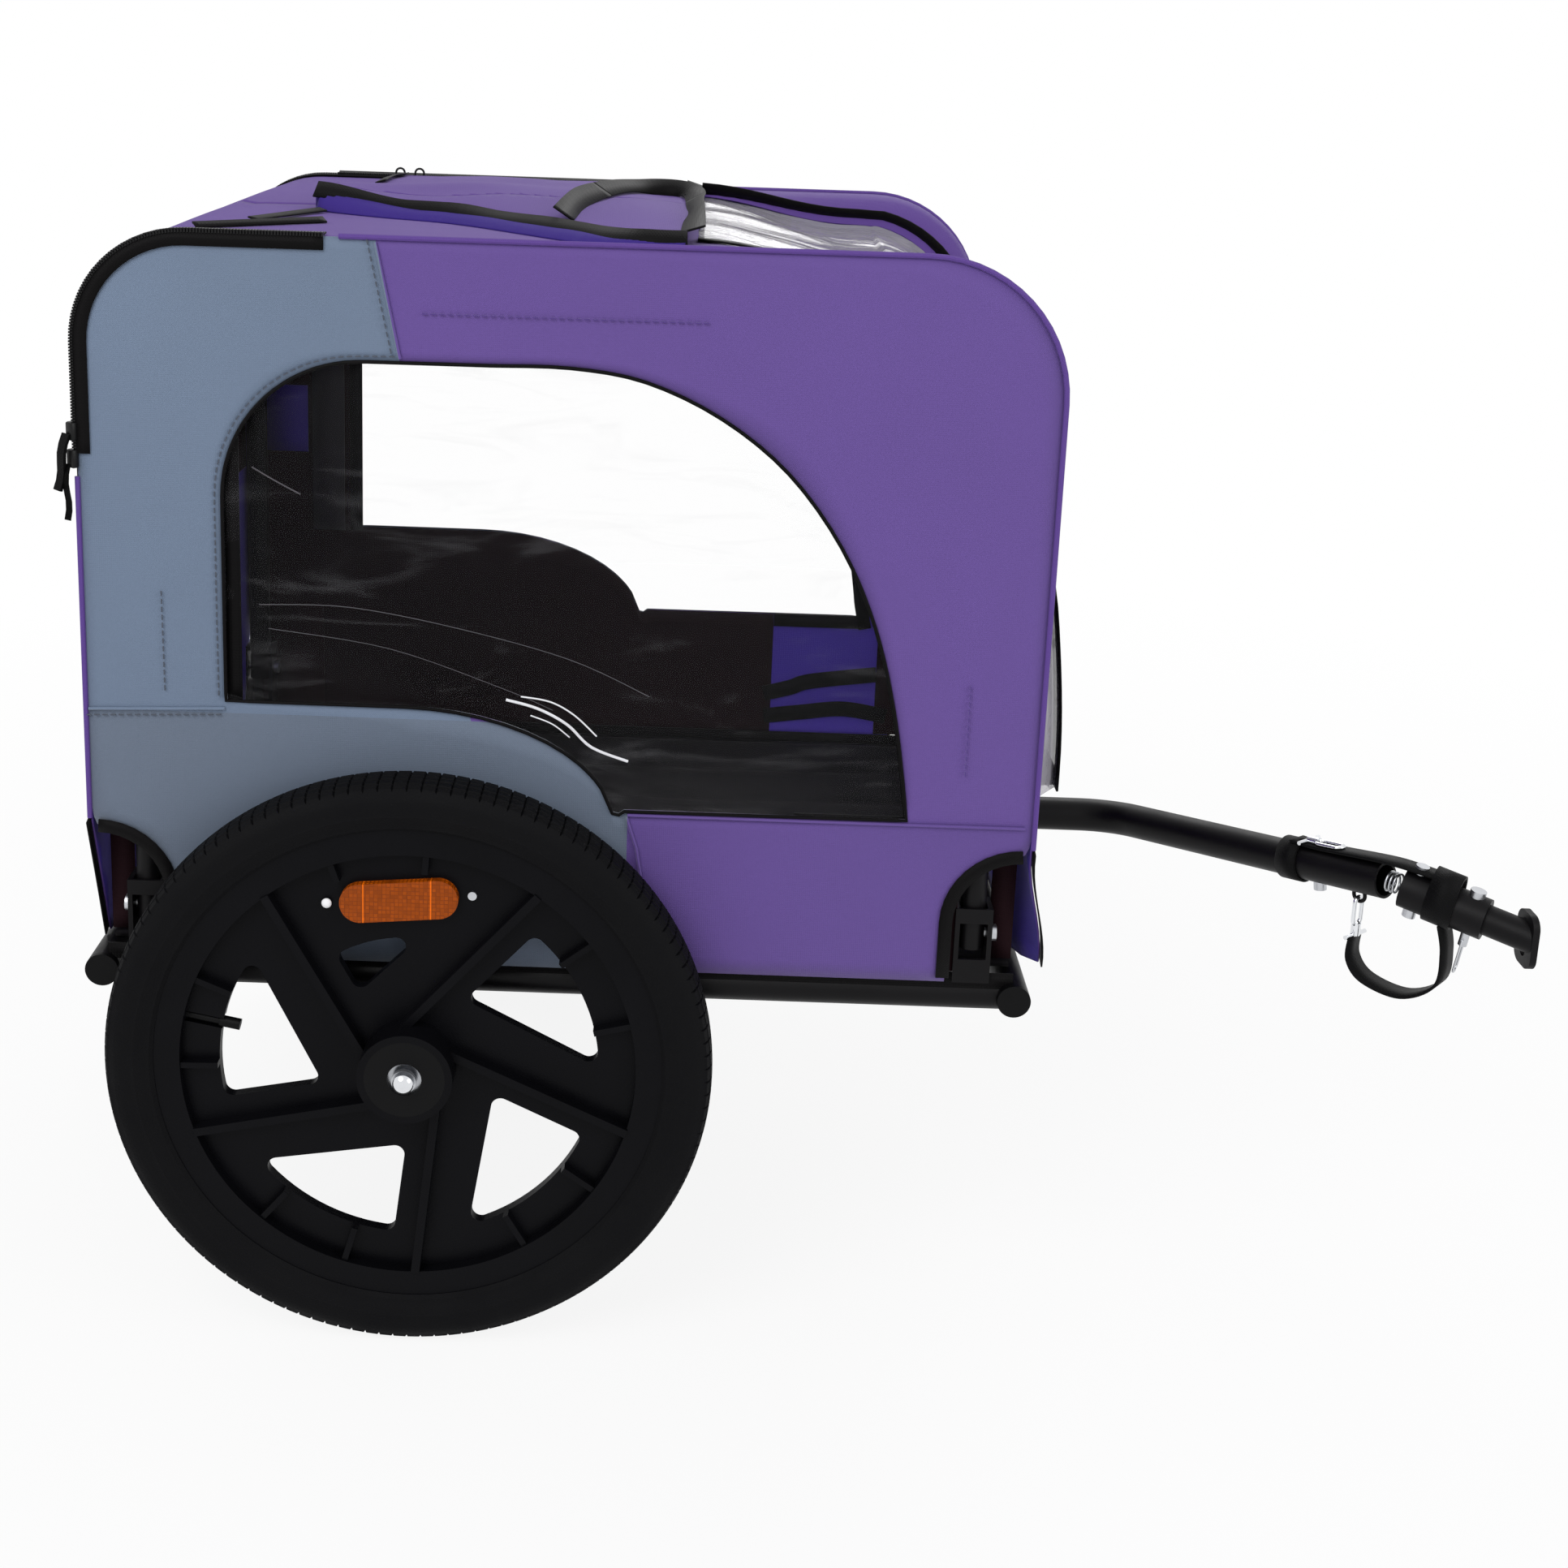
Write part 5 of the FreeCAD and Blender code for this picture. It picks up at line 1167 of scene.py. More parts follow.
# %% Rolls along the cabin's edges
ZIP_ROOF_X, ZIP_END_Z = -68.0, 739.0
ROLL_R, ROLL_OUT = 2.2 * MM, 0.5
edge = evenly(cabin_line(ROLL_OUT), SEAM_STEP)
front_edge = [point for point in edge if point.x > ZIP_ROOF_X and point.y > NOTCH_TOP_Z]
rear_edge = [point for point in edge if point.x < REAR_X + 2 and NOTCH_TOP_Z < point.y < ZIP_END_Z]
for label, side in SIDES.items():
    for name, line in (("front_welt", front_edge), ("rear_welt", rear_edge)):
        roll = welt(label + "_" + name, side_line(line, side, ROLL_OUT), ROLL_R, purple_cloth)
        settle(roll, "purple_fabric")
print("rolls:", len(front_edge), "and", len(rear_edge), "points")


# %% [markdown]
# ## Roof flap
# A flap of the same cloth lies loosely folded on the roof, bound with black tape. It is a grid laid
# between its near edge and the far edge of the roof and lifted into folds, with a second layer tucked
# under the near edge. An arch of tape stands on it. Pieces on the roof are cut in half at the middle.

# %% Places on the roof flap
FLAP_NEAR = ((-125, -45), (-60, -62), (3, -76), (68, -150), (120, -215), (165, -272), (207, -276))
FLAP_FAR_X, FLAP_FRONT_X, FLAP_FAR_Y = -95.0, 207.0, 281.0
TUCK, TUCK_END_Y, TUCK_RISE = 64.0, -283.0, 1.6
flap_near_line = smooth_line([Vector((x, y)) for x, y in FLAP_NEAR])
print("flap's near edge:", round(line_length(flap_near_line)), "mm")


def flap_rise(u, v):
    """Height of the flap over the roof in millimetres, for shares along and across it."""
    billow = 10.0 * math.sin(math.pi * v) ** 0.7 * (0.45 + 0.55 * math.sin(math.pi * min(1.0, u * 1.1)))
    ridge = 6.0 * math.exp(-((v - 0.25 - 0.5 * u) / 0.11) ** 2) * (1 - u)
    rolled = 13.0 * math.exp(-(u / 0.16) ** 2 - (v / 0.22) ** 2)
    swag = 7.0 * math.exp(-((u - 0.86) / 0.13) ** 2 - ((v - 0.35) / 0.25) ** 2)
    ripple = 2.2 * noise.noise(Vector((u * 5.0, v * 4.0, 0.7)))
    return 4.0 + max(0.0, billow + ridge + rolled + swag + ripple)


def flap_place(u, v):
    """Place on the flap for shares along and across it, and its height over the roof."""
    near = flap_near_line[round(u * (len(flap_near_line) - 1))]
    far = Vector((FLAP_FAR_X + (FLAP_FRONT_X - FLAP_FAR_X) * u, FLAP_FAR_Y))
    flat = near.lerp(far, v)
    return flat.x, flat.y, flap_rise(u, v)


def on_flap(x, y, lift):
    """Place so far above the flap over a point of the roof."""
    near = min(flap_near_line, key=lambda point: abs(point.x - x))
    v = min(1.0, max(0.0, (y - near.y) / (FLAP_FAR_Y - near.y)))
    u = min(1.0, max(0.0, (x - flap_near_line[0].x) / (FLAP_FRONT_X - flap_near_line[0].x)))
    return band_spot(x, y, TOP_Z, flap_rise(u, v) + lift)


# %% Roof flap
def cut_in_half(name, bm, slot, thickness, *finishes, body="chassis", replaced=(), offset=-1.0):
    """Right and left halves of a piece that spans the cabin."""
    halves = []
    for label, side in SIDES.items():
        half = bm.copy()
        whole = half.verts[:] + half.edges[:] + half.faces[:]
        bmesh.ops.bisect_plane(half, geom=whole, plane_co=(0, 0, 0), plane_no=(0, -side, 0),
                               clear_outer=True)
        if not half.faces:
            half.free()
            continue
        piece = make_piece(label + "_" + name, half, *finishes)
        dress(piece, body, slot, *(() if halves else replaced))
        if thickness:
            soften(piece, thickness, inner=len(finishes) - 1, offset=offset)
        sink(piece)
        halves.append(piece)
    bm.free()
    return halves


FLAP_U, FLAP_V = len(flap_near_line) - 1, 40
bm = bmesh.new()
bmesh.ops.create_grid(bm, x_segments=FLAP_U, y_segments=FLAP_V, size=0.5)
near_edges = [edge for edge in bm.edges if all(vert.co.y < -0.499 for vert in edge.verts)]
tucked = bmesh.ops.extrude_edge_only(bm, edges=near_edges)["geom"]
tucked = {item for item in tucked if isinstance(item, bmesh.types.BMVert)}
for vert in bm.verts:
    u = vert.co.x + 0.5
    x, y, rise = flap_place(u, vert.co.y + 0.5)
    if vert in tucked:
        y, rise = max(y - TUCK * math.sin(math.pi * u) ** 0.5, TUCK_END_Y), TUCK_RISE
    vert.co = band_spot(x, y, TOP_Z, rise)
# Faces of the tucked layer take the darker purple, painted shade under the fold.
for face in bm.faces:
    face.material_index = 1 if any(vert in tucked for vert in face.verts) else 0
face_out(bm, UP)
flap_halves = cut_in_half("roof_flap_cloth", bm, "purple_fabric", CLOTH, purple_cloth, shade_painted_purple,
                          replaced=("roof_flap",))
for piece in flap_halves:
    size = Vector(piece.bound_box[6]) - Vector(piece.bound_box[0])
print("flap:", [len(piece.data.polygons) for piece in flap_halves], "faces")


# %% Tapes on the roof
ARCH_TAPE = ((103, -170), (112, -60), (137, 38), (165, 92), (195, 96), (208, 55), (211, -60), (211, -190),
             (211, -262))
ARCH_CENTRE = spot(162.0, -90.0, 0)
NEAR_TAPE_W, ARCH_TAPE_W, FRONT_TAPE_W, FAR_TAPE_W, TIE_W = 17.0, 20.0, 16.0, 10.0, 8.0
FRONT_TAPE_YS, FAR_TAPE_YS = range(60, 283, 12), range(120, 283, 12)
REAR_TIES = (((-178, -262), (-140, -225), (-92, -178)), ((-150, -186), (-132, -130), (-112, -79)))


def tilted(y_share, z_share):
    """Facing of a tape that leans towards the right side of the trailer."""
    return Vector((0, y_share, z_share))


def towards_arch(point, along):
    """Facing of the standing arch of tape: towards its own middle and up."""
    inward = Vector((ARCH_CENTRE.x - point.x, ARCH_CENTRE.y - point.y, 0)).normalized()
    return inward * 0.75 + UP * 0.66


bm = bmesh.new()
tape(bm, [on_flap(point.x, point.y, 1.0) for point in flap_near_line], tilted(-0.75, 0.66), NEAR_TAPE_W)
tape(bm, smooth_line([on_flap(x, y, 7.0) for x, y in ARCH_TAPE]), towards_arch, ARCH_TAPE_W)
tape(bm, [on_flap(FLAP_FRONT_X, y, 2.0) for y in FRONT_TAPE_YS], (0.3, 0, 0.95), FRONT_TAPE_W)
tape(bm, [on_flap(FLAP_FAR_X, y, 1.5) for y in FAR_TAPE_YS], (-0.3, 0, 0.95), FAR_TAPE_W)
for tie in REAR_TIES:
    tape(bm, smooth_line([band_spot(x, y, TOP_Z, 3.0) for x, y in tie]), tilted(-0.6, 0.8), TIE_W)
bmesh.ops.recalc_face_normals(bm, faces=bm.faces)
roof_tapes = cut_in_half("roof_tapes", bm, "black_fabric", TAPE, binding_cloth, offset=0.0)
print("roof tapes:", [len(piece.data.polygons) for piece in roof_tapes], "faces")


# %% [markdown]
# ## Zips
# A zip runs along the roof's left edge, and one round each rear corner of the cabin, from the roof to
# half way down. A zip is a black tape on each of the two cloths that meet there, with a row of teeth
# along the edge, a slider and a hanging pull.

# %% Zips of the corners
ZIP_STEP, ZIP_SIDE_W, ZIP_BAND_W = 9, 11.0, 15.0
TOOTH_SIZE, ROOF_TOOTH_SIZE, TOOTH_GAP = (1.5, 3.4, 4.4), (1.5, 4.0, 1.6), 0.9
SLIDER_SIZE, SLIDER_ROUND, SLIDERS = (15, 9, 6), 1.6 * MM, (764.0, 742.0)
PULL_LENGTH, PULL_W, PULL_T, PULLS = 46.0, 7.0, 1.6 * MM, ((762.0, -9.0), (738.0, -2.0))


def zip_line(grow=0.0):
    """Outline of the cabin along the zip of a rear corner."""
    return [point for point in evenly(cabin_line(grow), ZIP_STEP)
            if point.x < ZIP_ROOF_X and point.y > ZIP_END_Z]


def slider(bm, place, along, out):
    """Slider body on a zip: a block with rounded edges."""
    edges = {edge for vert in block(bm, place, along, out, SLIDER_SIZE) for edge in vert.link_edges}
    bmesh.ops.bevel(bm, geom=list(edges), offset=SLIDER_ROUND, segments=2, profile=0.5, affect="EDGES",
                    material=-1)


def pull(bm, top, down, out):
    """Pull tab that hangs from a slider."""
    end = top + down
    line = [top.lerp(end, share / 6) + out * (2.0 * math.sin(share) * MM) for share in range(7)]
    tape(bm, line, out, PULL_W)
    bmesh.ops.solidify(bm, geom=bm.faces[:], thickness=PULL_T)


for label, side in SIDES.items():
    side_tape = tape_piece(label + "_zip_side_tape", [side_line(zip_line(-5.0), side, 1.5)], (0, side, 0),
                           ZIP_SIDE_W)
    dress(side_tape, label + "_frame", "black_fabric")
    band_line = [band_spot(point.x, side * (HALF_W - 6), point.y, 1.6) for point in zip_line()]
    sinking_tape("zip_band_tape", label, [band_line], outward, ZIP_BAND_W)
    teeth, sliders, pulls = bmesh.new(), bmesh.new(), bmesh.new()
    pegs(teeth, side_line(zip_line(1.6), side, 0.5), (0, side, 0), TOOTH_SIZE, TOOTH_GAP)
    for z in SLIDERS:
        slider(sliders, spot(REAR_X - 3.5, side * (HALF_W + 1.0), z), UP, Vector((-0.6, side * 0.8, 0)))
    for z, lean in PULLS:
        pull(pulls, spot(REAR_X - 7, side * (HALF_W + 3), z), Vector((lean * MM, 0, -PULL_LENGTH * MM)),
             Vector((-0.5, side, 0)))
    settle(make_piece(label + "_zip_teeth", teeth, zip_metal), "black_plastic")
    settle(make_piece(label + "_zip_sliders", sliders, zip_metal), "black_plastic")
    settle(make_piece(label + "_zip_pulls", pulls, webbing), "black_fabric")
print("corner zips:", round(line_length(zip_line())), "mm")

# %% Zip of the roof
ROOF_ZIP_Y, ROOF_ZIP_X = 284.0, (-165, 196)
RING_XS, RING_STEPS, RING_R, RING_WIRE = (-100, -80), 20, 4.5 * MM, 1.1 * MM
roof_zip = [band_spot(x, ROOF_ZIP_Y, TOP_Z, 2.6) for x in range(*ROOF_ZIP_X, 12)]
sinking_tape("roof_zip_tape", "left", [roof_zip], tilted(-0.35, 0.94), ZIP_BAND_W)
bm = bmesh.new()
pegs(bm, [point + UP * (1.2 * MM) for point in roof_zip], UP, ROOF_TOOTH_SIZE, TOOTH_GAP)
settle(make_piece("roof_zip_teeth", bm, zip_metal), "black_plastic")
for number, x in enumerate(RING_XS, 1):
    centre = band_spot(x, ROOF_ZIP_Y - 2, TOP_Z, 6.5)
    circle = [centre + Vector((RING_R * math.cos(turn), 0, RING_R * math.sin(turn)))
              for turn in (math.tau * step / RING_STEPS for step in range(RING_STEPS))]
    zip_ring = welt(f"roof_zip_ring_{number}", circle, RING_WIRE, zip_metal, closed=True)
    settle(zip_ring, "black_plastic")
print("roof zip:", round(line_length(roof_zip) / MM), "mm")


# %% [markdown]
# ## Rear door
# The door is a plain panel of the rear that lifts about its sewn upper edge. Its zip runs down both sides
# and along the bottom. It is cut in half as the band is.

# %% Rear door
DOOR_GAP, DOOR_CUTS, DOOR_EASE = 0.5, 12, 1.02
DOOR_TAPE_W, DOOR_TAPE_STEP = 16.0, 20 * MM
door_edge = [(REAR_X - DOOR_GAP, DOOR_LOW_Z + DOOR_GAP), (REAR_X - DOOR_GAP, DOOR_TOP_Z - 1)]
bm = band_half(door_edge, 1, -DOOR_HALF_W + DOOR_GAP, (DOOR_HALF_W - DOOR_GAP,))
upright = [edge for edge in bm.edges if abs(edge.verts[0].co.z - edge.verts[1].co.z) > 0.1]
bmesh.ops.subdivide_edges(bm, edges=upright, cuts=DOOR_CUTS, use_grid_fill=True)
face_out(bm, (-1, 0, 0))
for vert in bm.verts:
    if not vert.is_boundary:
        vert.co.x -= (2.0 + 2.5 * noise.noise(vert.co * 9.0)) * MM
door_halves = cut_in_half("rear_door_cloth", bm, "purple_fabric", CLOTH, purple_cloth, lining,
                          body="rear_door", replaced=("rear_flap",))

bm = bmesh.new()
door_x, door_y, foot_z = REAR_X - 2.4, DOOR_HALF_W - 9, DOOR_LOW_Z + 9
door_zip = [[spot(door_x, y, DOOR_TOP_Z - 8), spot(door_x, y, DOOR_LOW_Z + 4)] for y in (-door_y, door_y)]
door_zip.append([spot(door_x, -door_y, foot_z), spot(door_x, door_y, foot_z)])
for ends in door_zip:
    tape(bm, evenly(ends, DOOR_TAPE_STEP), (-1, 0, 0), DOOR_TAPE_W)
cut_in_half("rear_door_tape", bm, "black_fabric", TAPE, binding_cloth, body="rear_door", offset=0.0)
print("rear door:", [len(piece.data.polygons) for piece in door_halves], "faces")

# %% [markdown]
# ## Floor mat
# The mat lies flat on its board, quilted in squares. It starts as a grid, and the seams are pressed into
# it.

# %% Floor mat
QUILT, QUILT_PUFF, QUILT_PRESS, MAT_T = 86.0, 3.0, 1.0, 5 * MM
MAT_STEPS = (108, 72)
mat_low, mat_high = box_of("floor_mat")
mat_size = mat_high - mat_low
bm = bmesh.new()
bmesh.ops.create_grid(bm, x_segments=MAT_STEPS[0], y_segments=MAT_STEPS[1], size=0.5)
bmesh.ops.scale(bm, verts=bm.verts, vec=(mat_size.x, mat_size.y, 1))
bmesh.ops.translate(bm, verts=bm.verts, vec=(mat_low + mat_high) / 2)
for vert in bm.verts:
    u = abs(((vert.co.x - mat_low.x) / MM / QUILT) % 1 - 0.5) * 2
    v = abs(((vert.co.y - mat_low.y) / MM / QUILT) % 1 - 0.5) * 2
    puff = (1 - u ** 4) * (1 - v ** 4)
    vert.co.z = mat_high.z + (puff * QUILT_PUFF - QUILT_PRESS) * MM
mat = make_piece("quilted_floor_mat", bm, mat_cloth)
soften(mat, MAT_T, inner=0)
dress(mat, "chassis", "black_fabric", "floor_mat")
print("mat:", [round(value / MM) for value in mat_size], "mm")


# %% [markdown]
# ## Inside the cabin
# Through the windows one sees a few trimmings on the inner side of each panel: black tape down the rear
# edge of the window and round its front corner, a strip of dark net, a small purple pocket and two slack
# straps at the front. Dark cloth lines the lower corners behind the cut-outs, and a tape runs along the
# hem.

# %% Trimmings inside the side panels
net_cloth = cloth("dark_net", colour(48, 46, 50), rough=0.85, depth=0.3, threads=260.0)
INSIDE = HALF_W - 4.0
front_corner = [point for point in window_hem if point.x > 300 and 462 < point.y < 640]
front_corner = [Vector((409, 450))] + sorted(front_corner, key=lambda point: point.y)
TRIMMINGS = (
    ("inner_tape", [((-148, 826), (-148, 542))], 13.0, binding_cloth, "black_fabric"),
    ("inner_net", [((-178, 812), (-178, 542))], 34.0, net_cloth, "black_fabric"),
    ("inner_pocket", [((-222, 700), (-222, 628))], 44.0, purple_lining, "purple_fabric"),
    ("inner_edge_tape", [((309, 457), (409, 457)), front_corner], 14.0, binding_cloth, "black_fabric"),
    ("inner_straps", [((301, 372), (330, 380), (353, 388), (424, 398))], 17.0, webbing, "webbing"),
    ("inner_lower_strap", [((302, 346), (345, 352), (390, 357), (437, 350))], 17.0, webbing, "webbing"),
)


def inner_line(line, side):
    """Line on the inside of a side panel, smooth where it has more than two corners."""
    places = [Vector(point) for point in line]
    run = smooth_line(places) if len(places) > 2 else evenly(places, 20)
    return [spot(x, side * INSIDE, z) for x, z in run]


for label, side in SIDES.items():
    for name, lines, width, finish, slot in TRIMMINGS:
        strips = [inner_line(line, side) for line in lines]
        piece = tape_piece(label + "_" + name, strips, (0, -side, 0), width, finish)
        dress(piece, label + "_frame", slot)
print("trimmings:", len(TRIMMINGS), "on each side")

# %% Lining of the lower corners and the hem
CORNER_STRIPS = {
    "right": ((-196.0, 22.0, 3.5), (436.0, 23.0, 3.5), (-251.0, 20.0, 30.5), (489.0, 20.0, 30.5)),
    "left": ((-219.0, 68.0, 3.5), (449.0, 50.0, 3.5)),
}
HEM_TAPE_W, HEM_IN = 14.0, 3.6
LINING_ZS, HEM_XS = range(329, 456, 14), range(-258, 500, 18)
for label, side in SIDES.items():
    bm = bmesh.new()
    for x, width, inset in CORNER_STRIPS[label]:
        tape(bm, [spot(x, side * (HALF_W - inset), z) for z in LINING_ZS], (0, -side, 0), width)
    piece = make_piece(label + "_corner_lining", bm, lining)
    soften(piece, TAPE, inner=0, offset=0.0)
    settle(piece, "black_fabric")
    hem = [spot(x, side * (HALF_W - HEM_IN), HEM_Z) for x in HEM_XS]
    dress(tape_piece(label + "_hem_tape", [hem], (0, side, 0), HEM_TAPE_W), "chassis", "black_fabric")


# %% [markdown]
# ## Tyres
# A tyre is a profile spun about the axle. The tread's blocks are faces of that same shell, drawn in a
# little and lifted, so that grooves run between them. The rim and spokes under it stay as CAD made them.

# %% Tyres
TYRE_STEPS, TYRE_SHARP = 132, 28
TYRE_HALF = ((208.5, 14.5), (211.5, 17.6), (214.0, 18.2), (216.0, 19.6), (221.0, 21.6), (223.0, 22.6),
             (225.0, 22.2), (229.0, 23.0), (234.0, 23.3), (239.0, 22.4), (243.0, 19.6), (246.3, 14.0),
             (247.4, 7.0), (247.6, 0.0))
TREAD_R, BLOCK_LIFT, BLOCK_GAP, SHOULDER_LEAN = 242.0, 2.1, 1.1, 0.6


def tyre(label):
    """Tyre of one wheel, with the blocks of its tread."""
    middle = middle_of(label + "_tyre")
    profile = list(TYRE_HALF) + [(radius, -y) for radius, y in TYRE_HALF[-2::-1]]
    bm = bmesh.new()
    verts = [bm.verts.new(middle + Vector((radius * MM, y * MM, 0))) for radius, y in profile]
    edges = [bm.edges.new(pair) for pair in zip(verts, verts[1:])]
    bmesh.ops.spin(bm, geom=verts + edges, cent=middle, axis=(0, 1, 0), dvec=(0, 0, 0), angle=math.tau,
                   steps=TYRE_STEPS, use_merge=True)
    bmesh.ops.remove_doubles(bm, verts=bm.verts, dist=1e-6)
    bmesh.ops.recalc_face_normals(bm, faces=bm.faces)

    def radius_of(face):
        """Distance of a face from the axle, in millimetres."""
        offset = face.calc_center_median() - middle
        return math.hypot(offset.x, offset.z) / MM

    tread = [face for face in bm.faces if radius_of(face) > TREAD_R]
    bmesh.ops.inset_individual(bm, faces=tread, thickness=BLOCK_GAP * MM, use_even_offset=True)
    for face in tread:
        for vert in face.verts:
            away = vert.co - middle
            away.y *= SHOULDER_LEAN
            vert.co += away.normalized() * (BLOCK_LIFT * MM)
    bmesh.ops.recalc_face_normals(bm, faces=bm.faces)
    piece = make_piece(label + "_tread_tyre", bm, rubber, sharp=TYRE_SHARP)
    return dress(piece, label + "_wheel", "tyre", label + "_tyre")


tyres = [tyre(label) for label in SIDES]
print("tyres:", [len(piece.data.polygons) for piece in tyres], "faces")

# %% [markdown]
# ## Reflectors
# Each lens on the front and rear sits in a black housing. The housing is a rounded block whose face is
# drawn in and pressed back, so that a rim stands round the lens. The reflectors are sewn to the cloth, so
# the lenses are copies of the CAD meshes, cut apart at the middle as the cloth is.
# The amber reflector of a wheel has a screw at one end and a white plug at the other, which is a
# flattened ball.

# %% Reflector housings
HOUSING_RIM, HOUSING_DEPTH, HOUSING_ROUND, LENS_W = 4.0 * MM, 8.5 * MM, 9 * MM, 36.0 * MM
FACE_RIM, FACE_PRESS = 2.2 * MM, 1.5 * MM


def reflectors(name, way, finish, slot):
    """Lenses and housings on the front or the rear. Way is the direction in which they face."""
    node = name + "_reflectors"
    low, high = box_of(node)
    x = (low.x if way > 0 else high.x) + way * HOUSING_DEPTH / 2
    size = Matrix.Diagonal((HOUSING_DEPTH, LENS_W + 2 * HOUSING_RIM, high.z - low.z + 2 * HOUSING_RIM, 1))
    bm = bmesh.new()
    for side in SIDES.values():
        centre = Vector((x, side * (high.y - LENS_W / 2), (low.z + high.z) / 2))
        made = bmesh.ops.create_cube(bm, size=1.0, matrix=Matrix.Translation(centre) @ size)
        edges = {edge for vert in made["verts"] for edge in vert.link_edges}
        corners = [edge for edge in edges
                   if abs(edge.verts[0].co.x - edge.verts[1].co.x) > HOUSING_DEPTH / 2]
        bmesh.ops.bevel(bm, geom=corners, offset=HOUSING_ROUND, segments=6, profile=0.5, affect="EDGES",
                        material=-1)
    front = [face for face in bm.faces if face.normal.x * way > 0.9]
    bmesh.ops.inset_region(bm, faces=front, thickness=FACE_RIM, use_even_offset=True)
    pressed = list({vert for face in front for vert in face.verts})
    bmesh.ops.translate(bm, verts=pressed, vec=(-way * FACE_PRESS, 0, 0))
    cut_in_half(name + "_reflector_housing", bm, "black_plastic", None, cap_black)
    lens = bmesh.new()
    lens.from_mesh(nodes[node].data)
    bmesh.ops.remove_doubles(lens, verts=lens.verts, dist=1e-6)
    cut_in_half(name + "_reflector_lens", lens, slot, None, finish, replaced=(node,))
    print(name, "reflectors at", [round(value, 4) for value in (low + high) / 2])


reflectors("front", 1, white_lens, "white_lens")
reflectors("rear", -1, red_lens, "red_lens")

# %% Plugs beside the wheel reflectors
PLUG_R, PLUG_CROWN = 4.2 * MM, 0.5
for label, side in SIDES.items():
    screw_low, screw_high = box_of(label + "_reflector_screw")
    hole = middle_of(label + "_wheel_reflector") * 2 - (screw_low + screw_high) / 2
    hole.y = screw_high.y if side > 0 else screw_low.y
    bm = bmesh.new()
    bmesh.ops.create_uvsphere(bm, u_segments=20, v_segments=10, radius=PLUG_R,
                              matrix=Matrix.Translation(hole) @ Matrix.Diagonal((1, PLUG_CROWN, 1, 1)))
    dress(make_piece(label + "_reflector_plug", bm, plug_white), label + "_wheel", "white_lens")
    print(label, "plug at", [round(value, 4) for value in hole])


# %% [markdown]
# ## Webbing on the arm and the hitch
# A safety strap hangs in a loop between the hook under the arm and the sleeve of the hitch, and a second
# length lies along the top of both. Webbing is flat and stiff across its width, so it is a tape whose
# width keeps one direction.

# %% Straps of the hitch
STRAP_W, BAND_W, TOP_STRAP_W, STRAP_T = 25.0, 22.0, 21.0, 2.4 * MM
STRAP_ACROSS = Vector((-0.681, -0.732, 0))
ARM_WAY, HITCH_WAY = Vector((0.587, -0.794, 0.158)), Vector((0.818, -0.554, -0.153))
ARM_UP, HITCH_UP = Vector((-0.094, 0.127, 0.987)), Vector((0.127, -0.086, 0.988))
BAND_AT, RING_AT, BEND_AT = spot(808.6, -20.2, 326.9), spot(908.8, -130.9, 337.1), spot(872, -106, 344)
ARM_RADIUS, SLEEVE_RADIUS, WRAP_GAP, WRAP_STEPS = 17.0, 19.0, 1.6, 48
LOOP = ((851.6, -78.4, 279), (851.6, -78.4, 256), (863.6, -89.5, 240), (890.9, -114.9, 238),
        (912.8, -135.3, 260), (915.0, -137.3, 293), (911.0, -133.0, 318))


def keep_across(point, along):
    """Facing of a strap whose width stays in one direction."""
    return STRAP_ACROSS.cross(along).normalized()


def strap(name, line, facing, width, closed=False):
    """Length of webbing along a line."""
    piece = tape_piece(name, [line], facing, width, webbing, STRAP_T, closed)
    return piece


def wrap(name, body, node, centre, axis, up, radius, lift, width):
    """Band of webbing round a tube, in the place of a CAD node. Lift raises it where it is slack on top."""
    side = axis.cross(up).normalized()
    points = []
    for step in range(WRAP_STEPS):
        turn = math.tau * step / WRAP_STEPS
        reach = radius + WRAP_GAP + lift * max(0.0, math.sin(turn)) ** 3
        points.append(centre + (side * math.cos(turn) + up * math.sin(turn)) * (reach * MM))
    piece = strap(name, points, lambda point, along: (point - centre).normalized(), width, closed=True)
    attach(piece, body)
    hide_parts(node)


loop_line = smooth_line([spot(*place) for place in LOOP])
hanging = strap("safety_strap_loop", loop_line, keep_across, STRAP_W)
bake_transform(hanging)
wrap("safety_strap_ring", "hitch", "safety_strap", RING_AT, HITCH_WAY, HITCH_UP, SLEEVE_RADIUS, 9.0,
     STRAP_W)
wrap("arm_webbing_band", "tow_arm", "arm_webbing", BAND_AT, ARM_WAY, ARM_UP, ARM_RADIUS, 2.0, BAND_W)
top_line = smooth_line([
    BAND_AT + ARM_UP * (ARM_RADIUS + 3.4) * MM,
    BAND_AT + (ARM_WAY * 34 + ARM_UP * (ARM_RADIUS + 1.5)) * MM,
    BEND_AT + ARM_UP * (ARM_RADIUS + 3) * MM,
    RING_AT + (HITCH_UP * (SLEEVE_RADIUS + 4) - HITCH_WAY * 6) * MM])
top_strap = strap("arm_top_strap", top_line, UP, TOP_STRAP_W)
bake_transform(top_strap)
print("strap loop:", round(line_length(loop_line) / MM), "mm")


# %% [markdown]
# ## Light, floor and background
# A pale floor and a white room, lit by one large soft lamp from the upper left, a smaller one from the
# right and one from behind, and by the even light of the room. The floor and the room look white to the
# camera and in mirrors, whatever light falls on the trailer.

# %% Room and floor
WHITE, FLOOR_GREY = (1, 1, 1, 1), (0.85, 0.85, 0.86, 1)
ROOM_LIGHT = 0.5
FLOOR_R, FLOOR_DROP = 9.0, 0.4 * MM
SHADOW_R, CLEAR_R, SHADOW_GLOW = 0.5, 2.2, 0.88


